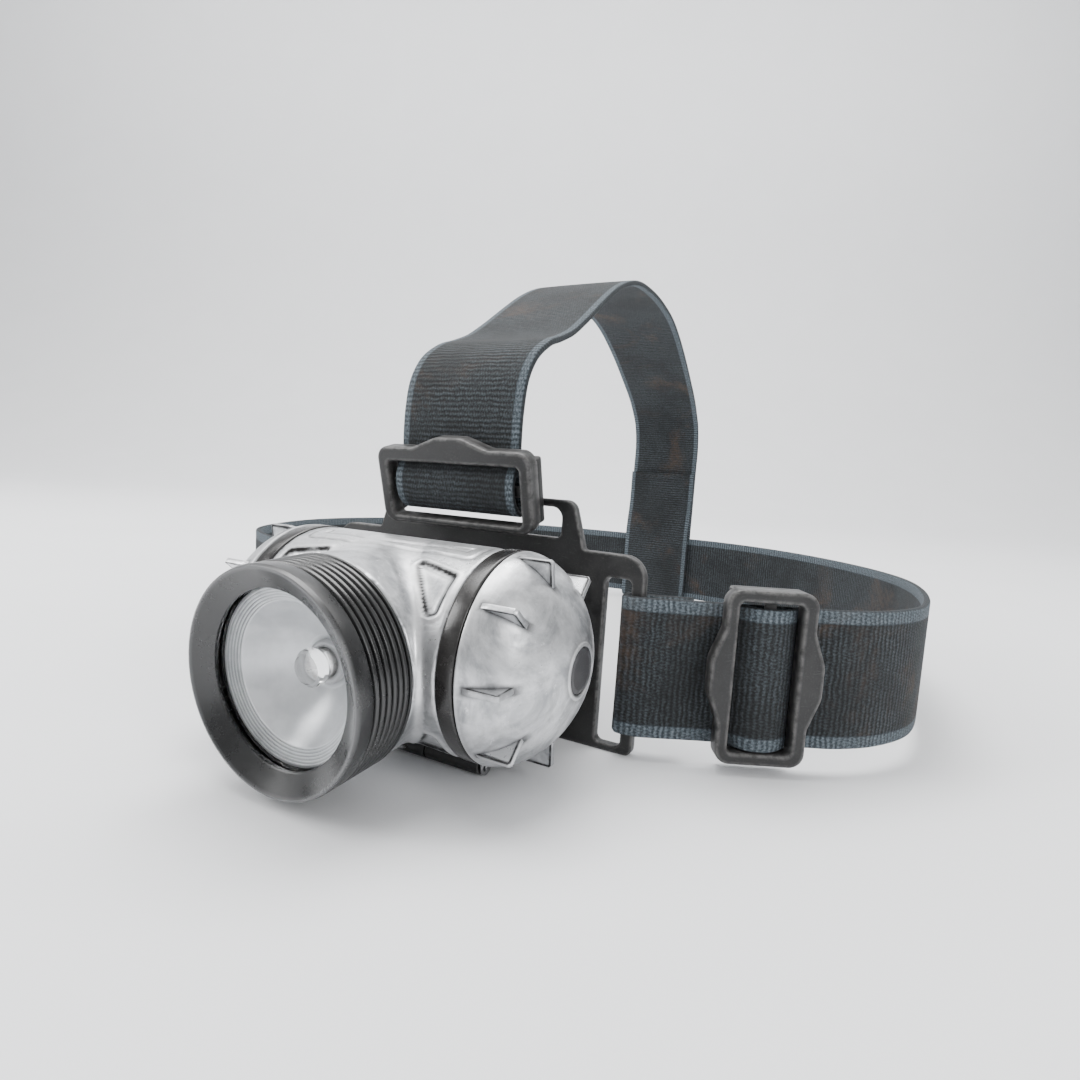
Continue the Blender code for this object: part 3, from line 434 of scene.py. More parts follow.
def turned(name, profile, look, body, placed, replaced=(), segments=128, rounding=0.3,
           grime_and_shade=None, painted_highlight=None):
    """A turned piece from a closed (radius, height) profile. Its two marks, painted shade with grime and
    painted highlight, map (r, h) to 0..1.
    """
    outline = soften(profile, rounding)
    area = sum(a[0] * b[1] - b[0] * a[1] for a, b in zip(outline, outline[1:] + outline[:1]))
    if area < 0:
        outline = outline[::-1]
    vertices, faces, rings, marks = [], [], [], {"grime_and_shade": [], "painted_highlight": []}
    for radius, height in outline:
        count = 1 if radius < 1e-6 else segments
        rings.append((len(vertices), count))
        for i in range(count):
            angle = 2 * math.pi * i / segments
            vertices.append((radius * math.cos(angle), radius * math.sin(angle), height))
            marks["grime_and_shade"].append(grime_and_shade(radius, height) if grime_and_shade else 0.0)
            marks["painted_highlight"].append(painted_highlight(radius, height) if painted_highlight else 0.0)
    for (a, na), (b, nb) in zip(rings, rings[1:] + rings[:1]):
        if na == 1 and nb == 1:
            continue
        for i in range(segments):
            j = (i + 1) % segments
            corners = (a + i % na, b + i % nb, b + j % nb, a + j % na)
            faces.append(tuple(dict.fromkeys(corners))[::-1])
    return make(name, vertices, faces, look, body, replaced, placed, marks)


def near(value, centre, width):
    return max(0.0, 1.0 - abs(value - centre) / width)


def curve_points(points, spacing):
    """A smooth curve through the points, sampled about every spacing."""
    points = [Vector(p) for p in points]
    padded = [points[0] * 2 - points[1]] + points + [points[-1] * 2 - points[-2]]
    found = []
    for a, b, c, d in zip(padded, padded[1:], padded[2:], padded[3:]):
        steps = max(1, round((c - b).length / spacing))
        ab, bc, cd = (max((q - p).length, 1e-6) ** 0.5 for p, q in ((a, b), (b, c), (c, d)))
        leave = ((b - a) / ab - (c - a) / (ab + bc) + (c - b) / bc) * bc
        arrive = ((c - b) / bc - (d - b) / (bc + cd) + (d - c) / cd) * bc
        for k in range(steps):
            t = k / steps
            found.append(b * (2 * t**3 - 3 * t**2 + 1) + leave * (t**3 - 2 * t**2 + t)
                         + c * (3 * t**2 - 2 * t**3) + arrive * (t**3 - t**2))
    return found + [points[-1]]


def strap_section(width, thick, columns=14):
    """The strap's cross-section as (across, out): flat faces and softly rounded edges."""
    half, deep = width / 2, thick / 2
    edge = min(0.55, deep * 0.8)
    spots = np.linspace(-half + edge, half - edge, columns)
    top = [(s, deep) for s in spots]
    bottom = [(s, -deep) for s in spots[::-1]]
    corner = [math.radians(a) for a in (60, 30, 0, -30, -60)]
    right = [(half - edge + edge * math.cos(a), deep * math.sin(a)) for a in corner]
    left = [(-half + edge - edge * math.cos(a), -deep * math.sin(a)) for a in corner]
    return top + right + bottom + left


def strap(name, centres, sides, width, thick, look, body, replaced, waves=0.0):
    """Webbing along the centres. Its UV map holds millimetres along and across, as metres."""
    section = strap_section(width, thick)
    vertices, uv, grime_and_shade = [], [], []
    travelled = 0.0
    for i, centre in enumerate(centres):
        ahead, back = centres[min(i + 1, len(centres) - 1)], centres[max(i - 1, 0)]
        if i:
            travelled += (centre - centres[i - 1]).length
        side = sides[i].normalized()
        normal = (ahead - back).cross(side).normalized()
        ripple = waves * (math.sin(travelled / 17.0) + 0.6 * math.sin(travelled / 7.3 + 1.0))
        for across, out in section:
            curl = ripple * (across / width) ** 2 * 4
            vertices.append(centre + side * across + normal * (out + curl))
            uv.append((travelled, across))
            # A dark mark over the first 3 mm, at the strap's starting end.
            grime_and_shade.append(0.55 * max(0.0, 1.0 - min(travelled, 400.0) / 3.0))
    count = len(section)
    faces = [f[::-1] for f in grid_faces(len(centres), count)]
    faces.append(tuple(range(count)))
    faces.append(tuple(range((len(centres) - 1) * count, len(centres) * count))[::-1])
    made = make(name, [tuple(v) for v in vertices], faces, look, body, replaced,
                marks={"grime_and_shade": grime_and_shade}, uv=uv)
    outward(made)
    return made


# Where along the thread, its relative radius, and its height over the webbing.
THREAD_ROWS = ((0.0, 0.25, -0.10), (0.18, 0.9, 0.05), (0.5, 1.0, 0.10), (0.82, 0.9, 0.05), (1.0, 0.25, -0.10))


def stitch_row(starts, body, name, out, length=2.0, gap=1.0, radius=0.16):
    """Sewing: short raised threads along each (start, end, out direction) line, as one piece."""
    vertices, faces = [], []
    for start, end, normal in starts:
        along = (end - start).normalized()
        side = along.cross(normal).normalized()
        total = (end - start).length
        count = max(1, int(total / (length + gap)))
        for k in range(count):
            first = start + along * ((k + 0.5) * total / count - length / 2)
            base = len(vertices)
            for t, size, lift in THREAD_ROWS:
                for i in range(6):
                    a = 2 * math.pi * i / 6
                    vertices.append(first + along * length * t + normal * (lift + out)
                                    + (side * math.cos(a) + normal * math.sin(a)) * radius * size)
            faces += [tuple(base + v for v in f) for f in grid_faces(5, 6)]
            faces += [tuple(base + v for v in range(5, -1, -1)), tuple(base + 24 + v for v in range(6))]
    made = make(name, [tuple(v) for v in vertices], faces, THREAD, body)
    return made


# ---- the straps' routes, as in the CAD ----
def slot_wrap():
    clear = BAND_THICK / 2 + GAP
    before = -PLATE_THICK - clear
    inside = SLOT_INNER - clear
    lap = [(52.0, 4.7), (48.0, 3.0), (PLATE_HALF + 0.6, clear + 0.3), (PLATE_HALF - 1.0, clear)]
    turn = [(inside + 0.6, clear - 0.1), (inside, clear - 1.0), (inside, before + 1.0)]
    out = [(inside + 0.6, before + 0.1), (PLATE_HALF - 1.0, before), (PLATE_HALF + 1.0, before + 0.4)]
    return lap + turn + out


def headband_route():
    start = slot_wrap()
    along = Vector((math.cos(math.radians(SLIDER_TURN)), math.sin(math.radians(SLIDER_TURN))))
    middle = Vector((SLIDER_X, SLIDER_Y))
    right = [tuple(middle + along * t) for t in (-14.0, -10.0, 0.0, 12.0, 15.0)]
    right += [(88.0, 22.5), (94.6, 34.0), (97.2, 49.0), (97.0, 80.0), (91.5, 113.0)]
    rear = [(77.0, 145.0), (58.0, 168.0), (38.0, 182.0), (18.0, 188.6)]
    rear += [(x, REAR_Y + REAR_SLOPE * (x - REAR_X)) for x in (5.0, -1.0, -8.0, REAR_X, -21.0, -28.0, -34.0)]
    left = [(-58.0, 184.0), (-84.0, 175.0), (-108.0, 157.0), (-124.0, 133.0), (-128.0, 105.0)]
    left += [(-124.0, 70.0), (-113.5, 40.0), (-100.0, 18.0), (-82.0, 6.6), (-62.0, 0.8), (-50.0, -2.1)]
    end = [(-x, y) for x, y in reversed(start)]
    plan = start + right + rear + left + end
    dense = curve_points([(x, y, 0) for x, y in plan], 1.4)
    back = max(p.y for p in dense)
    centres = []
    for point in dense:
        share = min(max((point.y - 30.0) / (back - 30.0), 0.0), 1.0)
        drop = BAND_REAR_DROP * share * share * (3 - 2 * share)
        centres.append(Vector((point.x, point.y, BAND_MID_Z - drop)))
    return centres


def top_route():
    front = [(-6.4, 38.0), (-5.2, 33.2), (-2.2, 31.0), (0.6, 30.4), (1.5, 28.8), (1.0, 27.2),
             (-0.2, 26.4), (-2.4, 26.4), (-4.2, 27.4), (-6.2, 30.0), (-8.4, 34.0)]
    rise = [(-9.3, 38.0), (-9.6, 43.0), (-9.3, 49.0), (-8.0, 55.0), (-4.4, 60.4), (1.6, 64.4), (8.5, 66.9)]
    over = [(15.5, 69.8), (24.0, 74.8), (34.0, 81.2), (46.0, 88.4), (58.0, 94.0), (70.0, 97.6)]
    over += [(84.0, 99.1), (102.0, 99.2), (120.0, 97.3)]
    down = [(140.0, 91.0), (162.0, 81.6), (178.0, 73.0), (187.0, 65.0), (191.0, 54.0)]
    outside, floor = REAR_Y + 2.0, FLOOR_Z + TOP_THICK / 2 + 0.02
    inside = outside - 4.2
    rear = [(outside, 40.0), (outside, 12.0), (outside, -12.0), (outside, floor + 2.4),
            (outside - 0.3, floor + 1.4), (outside - 1.0, floor + 0.5), (outside - 2.1, floor),
            (inside + 1.0, floor + 0.5), (inside + 0.3, floor + 1.4), (inside, floor + 2.4), (inside, -12.0),
            (inside, 8.0), (inside + 1.0, 16.0), (outside - 1.95, 24.0), (outside - 1.95, 40.0)]
    centres, sides = [], []
    for point in curve_points([(0, y, z) for y, z in front + rise + over + down + rear], 1.4):
        share = min(max(point.y / (REAR_Y - 5.0), 0.0), 1.0)
        centres.append(Vector((-0.5 + (REAR_X + 0.5) * share, point.y, point.z)))
        sides.append(Vector((1, REAR_SLOPE * share, 0)))
    return centres, sides


def make_straps():
    centres = headband_route()
    strap("headband_webbing", centres, [Vector((0, 0, 1))] * len(centres), BAND_WIDTH, BAND_THICK, BAND_WEB,
          "harness", ("headband",), waves=0.12)
    centres, sides = top_route()
    strap("top_webbing", centres, sides, TOP_WIDTH, TOP_THICK, TOP_WEB,
          "harness", ("top_strap",), waves=0.12)

    rows = []
    rear_side = Vector((1, REAR_SLOPE, 0)).normalized()
    outwards = Vector((-REAR_SLOPE, 1, 0)).normalized()
    for level in (38.2, 36.4):
        middle = Vector((REAR_X, REAR_Y + 2.0, level))
        rows.append((middle - rear_side * 15.2, middle + rear_side * 15.2, outwards))
        inner = middle - outwards * 1.95
        rows.append((inner + rear_side * 15.2, inner - rear_side * 15.2, -outwards))
    stitch_row(rows, "harness", "rear_sewing", TOP_THICK / 2)

    rows = []
    for side in (-1, 1):
        for at in (46.6, 48.4, 50.2):
            lap = Vector((side * at, 3.0 + (at - 48.0) * 0.425, BAND_MID_Z))
            normal = Vector((-side * 0.391, 0.92, 0))
            rows.append((lap - Vector((0, 0, 13.6)), lap + Vector((0, 0, 13.6)), normal))
    stitch_row(rows, "harness", "band_sewing", BAND_THICK / 2)


def fold_piece(name, placed, path, width, thick, look, body, replaced):
    points = [placed @ p for p in curve_points([(x, 0, z) for x, z in path], 0.6)]
    across = placed.to_3x3() @ Vector((0, 1, 0))
    return strap(name, points, [across] * len(points), width, thick, look, body, replaced)


# ---- plates: the bracket and the sliders' frames ----
def rounded(corners, steps=8):
    """An outline with its corners rounded; each corner is (x, y, radius)."""
    points = []
    count = len(corners)
    for i, (x, y, size) in enumerate(corners):
        here = Vector((x, y))
        before = (Vector(corners[i - 1][:2]) - here).normalized()
        after = (Vector(corners[(i + 1) % count][:2]) - here).normalized()
        half = before.angle(after) / 2
        centre = here + (before + after).normalized() * size / math.sin(half)
        start = here + before * size / math.tan(half) - centre
        end = here + after * size / math.tan(half) - centre
        turn = start.angle_signed(end)
        for k in range(steps + 1):
            angle = -turn * k / steps
            cos, sin = math.cos(angle), math.sin(angle)
            x_turned, y_turned = start.x * cos - start.y * sin, start.x * sin + start.y * cos
            points.append((centre.x + x_turned, centre.y + y_turned))
    return points


def even_loop(points, spacing=0.8):
    """The outline with extra points along its long edges."""
    found = []
    for a, b in zip(points, points[1:] + points[:1]):
        length = math.hypot(b[0] - a[0], b[1] - a[1])
        steps = max(1, round(length / spacing))
        found += [(a[0] + (b[0] - a[0]) * k / steps, a[1] + (b[1] - a[1]) * k / steps) for k in range(steps)]
    return found


def moved_in(loop, distance):
    """The loop moved to its left by the distance."""
    found = []
    count = len(loop)
    for i in range(count):
        a, b, c = Vector(loop[i - 1]), Vector(loop[i]), Vector(loop[(i + 1) % count])
        first, second = (b - a).normalized(), (c - b).normalized()
        normal = Vector((-(first.y + second.y), first.x + second.x)).normalized()
        found.append(tuple(b + normal * distance / max(normal.dot(Vector((-first.y, first.x))), 0.4)))
    return found


def plate_piece(name, outer, holes, low, high, radius, look, body, replaced, placed, bars=()):
    """A flat plate with rounded edges and holes, and bars added to the same piece.
    Its wear mark is 1 on the rounded edges."""
    bm = bmesh.new()
    worn = bm.verts.layers.float.new("wear")
    arc = [math.radians(90 * k / 4) for k in range(5)]
    rows = [(radius + 0.28, high, 0.0), (radius, high, 0.5)]
    rows += [(radius * (1 - math.sin(a)), high - radius * (1 - math.cos(a)), 1.0) for a in arc[1:]]
    middle = (low + high) / 2
    rows += [(0.0, middle, 0.15)]
    rows += [(radius * (1 - math.sin(a)), low + radius * (1 - math.cos(a)), 1.0) for a in arc[:0:-1]]
    rows += [(radius, low, 0.5), (radius + 0.28, low, 0.0)]
    fronts, backs = [], []
    for loop, sign in [(outer, 1)] + [(hole, -1) for hole in holes]:
        area = sum(a[0] * b[1] - b[0] * a[1] for a, b in zip(loop, loop[1:] + loop[:1]))
        loop = even_loop(loop if area * sign > 0 else loop[::-1])
        made = []
        for inset, height, wear in rows:
            ring = []
            for x, y in moved_in(loop, inset):
                vertex = bm.verts.new((x, y, height))
                vertex[worn] = wear
                ring.append(vertex)
            made.append(ring)
        for a, b in zip(made, made[1:]):
            for i in range(len(a)):
                j = (i + 1) % len(a)
                bm.faces.new((a[i], b[i], b[j], a[j]))
        fronts.append(made[0])
        backs.append(made[-1])
    for rings in (fronts, backs):
        edges = []
        for ring in rings:
            for a, b in zip(ring, ring[1:] + ring[:1]):
                edges.append(bm.edges.get((a, b)) or bm.edges.new((a, b)))
        bmesh.ops.triangle_fill(bm, use_beauty=True, use_dissolve=False, edges=edges)
    for bar in bars:
        add_bar(bm, worn, *bar)
    bmesh.ops.recalc_face_normals(bm, faces=bm.faces)
    bm.verts.index_update()
    vertices = [tuple(v.co) for v in bm.verts]
    marks = {"wear": [v[worn] for v in bm.verts]}
    faces = [tuple(v.index for v in f.verts) for f in bm.faces]
    bm.free()
    return make(name, vertices, faces, look, body, replaced, placed, marks)


def box_outline(low, high):
    return [(low[0], low[1]), (high[0], low[1]), (high[0], high[1]), (low[0], high[1])]


def add_bar(bm, worn, outline, first, last, radius):
    """A bar along x with the (y, z) outline, its sharp edges rounded and marked as worn."""
    rings = [[bm.verts.new((x, y, z)) for y, z in outline] for x in sorted((first, last))]
    count = len(outline)
    faces = [bm.faces.new(rings[0][::-1]), bm.faces.new(rings[1])]
    for i in range(count):
        j = (i + 1) % count
        faces.append(bm.faces.new((rings[0][i], rings[0][j], rings[1][j], rings[1][i])))
    bmesh.ops.recalc_face_normals(bm, faces=faces)
    edges = {edge for face in faces for edge in face.edges if edge.calc_face_angle() > 0.7}
    made = bmesh.ops.bevel(bm, geom=list(edges), offset=radius, segments=3, profile=0.5, affect="EDGES")
    curved = set(made["faces"])
    for vertex in made["verts"]:
        vertex[worn] = 1.0 if curved.issuperset(vertex.link_faces) else 0.0


def make_bracket():
    upright = Matrix.Rotation(math.radians(90), 4, "X")
    half = PLATE_HALF
    right = [(half, FLOOR_Z, 1.5), (half, 18.9, 5.0), (28.7, 18.9, 0.9), (25.6, 29.5, 2.8)]
    outer = rounded(right + [(-x, z, r) for x, z, r in reversed(right)])
    holes = []
    for side in (-1, 1):
        corners = [(34.5, -22.9), (40.5, -22.9), (40.5, 13.8), (34.5, 13.8)]
        holes.append(rounded([(side * x, z, 1.4) for x, z in corners[::side]]))
    holes.append(rounded([(-23.0, 21.0, 1.2), (23.0, 21.0, 1.2), (23.0, 27.8, 2.6), (-23.0, 27.8, 2.6)]))
    angles = [2 * math.pi * k / 24 for k in range(24)]
    barrel = [(PIN_Z + KNUCKLE_R * math.sin(a), KNUCKLE_R * math.cos(a) - PIN_Y) for a in angles]
    bars = [(box_outline((FLOOR_Z, 1.2), (SHELF_TOP, 25.2)), -SHELF_HALF, SHELF_HALF, 0.35)]
    for side in (-1, 1):
        inner = side * (LUG_HALF + GAP)
        bars.append((box_outline((FLOOR_Z, 25.0), (SHELF_TOP, -PIN_Y)), inner, side * SHELF_HALF, 0.35))
        bars.append((barrel, inner, side * SHELF_HALF, 0.3))
        bars.append(([(-23.4, 1.0), (-12.0, 1.0), (-12.0, 2.2), (-22.4, 12.0), (-23.4, 12.0)],
                     side * 19.0, side * 21.0, 0.4))
    plate_piece("bracket_plate", outer, holes, 0.0, PLATE_THICK, 0.36, MOULDED,
                "harness", ("bracket",), upright, bars)


def slider_outline(half_x, half_y, corner, bulge, swells):
    """The frame's outer edge; the long bars on the given sides swell at mid-length."""
    right = [(half_x, -half_y, corner)]
    left = [(-half_x, half_y, corner)]
    if 1 in swells:
        right += [(half_x, -10.0, 4.0), (half_x + bulge, -3.4, 5.0)]
        right += [(half_x + bulge, 3.4, 5.0), (half_x, 10.0, 4.0)]
    if -1 in swells:
        left += [(-half_x, 10.0, 4.0), (-half_x - bulge, 3.4, 5.0)]
        left += [(-half_x - bulge, -3.4, 5.0), (-half_x, -10.0, 4.0)]
    return rounded(right + [(half_x, half_y, corner)] + left + [(-half_x, -half_y, corner)])


def make_slider(name, half, window, window_x, low, back, placed, body, replaced, swells):
    outer = slider_outline(half[0], half[1], 3.0, 2.4, swells)
    corners = box_outline((-window[0], -window[1]), window)
    hole = rounded([(window_x + x, y, 1.1) for x, y in corners])
    middle = box_outline((-window[1] - 0.6, low + 1.4), (window[1] + 0.6, low + 2.3))
    bars = [(middle, -1.2, 1.2, 0.3)]
    for end in (-1, 1):
        span = sorted((end * (window[1] + 0.3), end * (half[1] - 0.1)))
        bars.append((box_outline((span[0], back), (span[1], low + 1.2)), -half[0] + 1.7, half[0] - 1.7, 0.6))
    plate_piece(name, outer, [hole], low, low + 4.2, 0.62, MOULDED, body, replaced, placed, bars)


def make_sliders():
    low = BAND_THICK / 2 + GAP
    make_slider("band_slider_frame", (9.2, 18.2), (6.5, 15.7), -0.2, low, -low - 0.6, BAND_SLIDER,
                "band_slider", ("right_slider",), (-1, 1))
    rise = low + 0.7
    rising = [(5.6, -0.05), (4.9, 0.5), (4.0, 1.2), (2.7, 2.1), (1.4, 2.55)]
    path = [(-x, rise + z) for x, z in rising] + [(0.0, rise + 2.65)]
    path += [(x, rise + z) for x, z in rising[::-1]]
    fold_piece("band_slider_webbing", BAND_SLIDER @ Matrix.Translation((0, -0.5, 0)), path,
               BAND_WIDTH, FOLD_THICK, BAND_WEB, "band_slider", ("right_slider_fold",))
    make_slider("crown_slider_frame", (9.0, 20.3), (6.5, 17.6), -0.8, 0.0, -2.0, CROWN_SLIDER, "crown_slider",
                ("top_slider",), (1,))
    path = [(5.5, 0.9), (4.4, 1.7), (2.6, 2.9), (0.0, 3.4)]
    path += [(-2.6, 3.1), (-4.2, 2.3), (-5.3, 1.2), (-5.5, 0.7)]
    fold_piece("crown_slider_webbing", CROWN_SLIDER, path, TOP_WIDTH, FOLD_THICK, TOP_WEB, "crown_slider",
               ("top_slider_fold",))


# ---- lamp body ----
def rounded_polygon(x, y, corners, radius):
    """Signed distance in the plane to a rounded polygon, corners counter-clockwise."""
    shrunk = []
    count = len(corners)
    for i in range(count):
        a, b, c = (np.array(corners[k % count], float) for k in (i - 1, i, i + 1))
        u, v = (a - b) / np.linalg.norm(a - b), (c - b) / np.linalg.norm(c - b)
        half = math.acos(float(np.clip(u @ v, -1, 1))) / 2
        bisector = (u + v) / np.linalg.norm(u + v)
        shrunk.append(b + bisector * radius / math.sin(half))
    inside = np.ones_like(x, bool)
    distance = np.full_like(x, 1e9)
    for i in range(count):
        a, b = shrunk[i], shrunk[(i + 1) % count]
        edge = b - a
        t = np.clip(((x - a[0]) * edge[0] + (y - a[1]) * edge[1]) / (edge @ edge), 0, 1)
        distance = np.minimum(distance, np.hypot(x - a[0] - t * edge[0], y - a[1] - t * edge[1]))
        inside &= edge[0] * (y - a[1]) - edge[1] * (x - a[0]) > 0
    return np.where(inside, -distance, distance) - radius


def step_up(value, low, high):
    t = np.clip((value - low) / (high - low), 0, 1)
    return t * t * (3 - 2 * t)


TRIANGLE = ((9.6, 66.5), (18.9, 32.0), (20.9, 33.5), (20.9, 58.0))   # x, degrees above the front
PANEL = ((-20.9, 71.5), (-12.0, 74.0), (0.0, 79.5), (12.0, 74.0), (20.9, 71.5), (20.9, 118.0), (-20.9, 118.0))


def housing_marks(x, f, z):
    """Distances, in mm over the surface, to the shoulder recesses and to the top panel's edge."""
    angle = np.degrees(np.arctan2(z, f))
    arc = BODY_R * math.pi / 180
    corners = [(cx, cy * arc) for cx, cy in TRIANGLE]
    recess = rounded_polygon(np.abs(x), np.abs(angle) * arc, corners, 1.0)
    panel = rounded_polygon(x, angle * arc, [(cx, cy * arc) for cx, cy in PANEL], 1.4)
    belly = rounded_polygon(x, -angle * arc, [(cx, cy * arc) for cx, cy in PANEL], 1.4)
    return recess, np.minimum(panel, belly)


def housing_distance(p):
    """How far points in the lamp's frame lie outside the housing's skin."""
    x, f, z = p[:, 0], -p[:, 1], p[:, 2]
    barrel = np.hypot(f, z) - BODY_R
    neck = np.maximum(np.hypot(x, z) - NECK_R, -f + 2.0)
    blend = 2.2
    mixed = np.clip(0.5 + 0.5 * (neck - barrel) / blend, 0, 1)
    skin = neck * (1 - mixed) + barrel * mixed - blend * mixed * (1 - mixed) * 0.55
    recess, panel = housing_marks(x, f, z)
    skin = skin + 0.75 * step_up(-recess, -0.25, 1.0)
    skin = skin - 0.16 * np.exp(-((recess - 0.55) / 0.5) ** 2)
    skin = skin + 0.22 * np.exp(-(panel / 0.28) ** 2) - 0.12 * step_up(-panel, 0.0, 0.6)
    return skin


def make_housing():
    """The CAD housing, remeshed finely, its outer skin pulled onto the blended, embossed form."""
    source = frame["nodes"]["housing"]
    base = bpy.data.objects.new("housing_shell", source.data.copy())
    bpy.context.scene.collection.objects.link(base)
    voxel = 0.46
    remesh = base.modifiers.new("fine", "REMESH")
    remesh.mode = "VOXEL"
    remesh.voxel_size = voxel * MM
    graph = bpy.context.evaluated_depsgraph_get()
    fine = bpy.data.meshes.new_from_object(base.evaluated_get(graph))
    bpy.data.objects.remove(base)
    points = np.zeros(len(fine.vertices) * 3, np.float32)
    fine.vertices.foreach_get("co", points)
    back = np.array(LAMP.inverted())
    local = points.reshape(-1, 3).astype(float) / MM @ back[:3, :3].T + back[:3, 3]
    radial, off_axis = np.hypot(local[:, 1], local[:, 2]), np.hypot(local[:, 0], local[:, 2])
    ahead = -local[:, 1]
    skin = (np.abs(local[:, 0]) < BODY_HALF - 0.3) & (ahead < NECK_FRONT - 0.3)
    skin &= (np.minimum(radial - BODY_R, np.where(ahead > 0, off_axis - NECK_R, 99)) > -1.2)
    skin &= ~((ahead > 0) & (off_axis < NECK_R - 1.6) & (radial > BODY_R + 0.5))
    moved = local[skin]
    small = 0.02
    for _ in range(6):
        value = housing_distance(moved)
        steps = [axis * small for axis in np.eye(3)]
        slope = [(housing_distance(moved + d) - housing_distance(moved - d)) / (2 * small) for d in steps]
        slope = np.stack(slope, axis=1)
        size = np.maximum((slope ** 2).sum(1, keepdims=True), 0.3)
        moved = moved - np.clip(value[:, None] * slope / size, -0.6, 0.6)
    local[skin] = moved
    forward = np.array(LAMP)
    world = (local @ forward[:3, :3].T + forward[:3, 3]) * MM
    fine.vertices.foreach_set("co", world.astype(np.float32).ravel())
    recess, panel = housing_marks(local[:, 0], -local[:, 1], local[:, 2])
    # Painted shade with grime in the recesses' corners, along the panel's edge groove, and where the housing
    # meets the seals and the bezel.
    grime_and_shade = np.clip(1.35 * np.exp(-((recess + 0.2) / 0.46) ** 2), 0, 1)
    grime_and_shade = np.maximum(grime_and_shade, np.exp(-(panel / 0.36) ** 2) * 0.8)
    grime_and_shade = np.maximum(grime_and_shade, np.exp(-((np.abs(local[:, 0]) - BODY_HALF) / 0.35) ** 2) * 0.8)
    grime_and_shade = np.maximum(grime_and_shade, np.exp(-((ahead - NECK_FRONT) / 0.5) ** 2) * 0.8) * skin
    # Painted highlights round the recesses' edges, inside and out, and along the crease between neck and
    # barrel.
    crease = np.hypot(ahead, local[:, 2]) - BODY_R
    crease = np.exp(-(crease / 0.5) ** 2) * (np.abs(off_axis - NECK_R) < 1.6) * (ahead > 0)
    painted_highlight = np.exp(-((recess - 0.95) / 0.45) ** 2) * 0.55
    painted_highlight = np.maximum(painted_highlight, np.exp(-((recess + 1.4) / 0.5) ** 2) * 0.35)
    painted_highlight = np.maximum(painted_highlight, crease * 0.5) * skin
    for key, values in (("grime_and_shade", grime_and_shade), ("painted_highlight", painted_highlight)):
        fine.attributes.new(key, "FLOAT", "POINT").data.foreach_set("value", values.astype(np.float32))
    fine.materials.clear()
    fine.materials.append(SILVER)
    fine.polygons.foreach_set("use_smooth", np.ones(len(fine.polygons), bool))
    made = bpy.data.objects.new("housing_shell", fine)
    bpy.context.scene.collection.objects.link(made)
    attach(made, "lamp")
    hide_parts("housing")


def make_seals():
    for word, placed in (("right", RIGHT), ("left", LEFT)):
        inside = SPIGOT_R + GAP
        first, last = BAND_START - 0.1, BAND_END + 0.15
        profile = [(inside, first), (BAND_R, first, 0.5), (BAND_R, last, 0.5), (inside, last)]
        turned(f"{word}_seal", profile, RUBBER, "lamp", placed, (f"{word}_seal_band",), 160)


# ---- bezel, lens and bulb ----
def bezel_ribs():
    """The grip's profile from back to front: rounded ribs with narrow grooves between them."""
    ribbed, first = 30.4, RING_BACK + 0.9
    pitch = (ribbed - first) / RIBS
    profile = [(RING_R - 0.35, RING_BACK, 0.15), (RING_R, RING_BACK + 0.35, 0.2), (RING_R, first - 0.1, 0.15)]
    for i in range(RIBS):
        at = first + pitch * i
        profile += [(RING_R - 1.0, at + 0.14, 0.08), (RING_R - 0.12, at + 0.42, 0.22),
                    (RING_R + 0.02, at + pitch * 0.5, 0.3), (RING_R - 0.12, at + pitch - 0.22, 0.22)]
    return profile + [(RING_R - 1.0, ribbed + 0.14, 0.08), (RING_R - 0.05, ribbed + 0.45, 0.25)]


def make_bezel():
    inner, seat = THREAD_R + 0.35, LENS_R + GAP
    profile = bezel_ribs()
    profile += [(RING_R, RING_FRONT - 0.9, 0.4), (RING_R - 0.25, RING_FRONT - 0.1, 0.2),
                (RING_R - 0.65, RING_FRONT - 0.05, 0.15), (RING_R - 1.1, RING_FRONT - 0.4, 0.3),
                (LENS_OPENING_R + 0.3, 32.35, 0.15), (LENS_OPENING_R, 32.15, 0.1),
                (LENS_OPENING_R, 31.65, 0.1),
                (seat, 31.65, 0.05), (seat, 27.4, 0.05), (inner, 27.4, 0.05), (inner, RING_BACK, 0.1)]

    # Painted shade in the grooves between the ribs and a painted highlight on the front lip.
    def groove_shade(radius, height):
        return 0.9 if RING_R - 1.1 < radius < RING_R - 0.5 and height < 31.2 else 0.0

    def lip_highlight(radius, height):
        return near(radius, RING_R - 0.45, 0.4) * (height > RING_FRONT - 0.5) * 0.9

    turned("bezel_grip", profile, BEZEL, "bezel", FRONT, ("focus_ring",), 160,
           grime_and_shade=groove_shade, painted_highlight=lip_highlight)


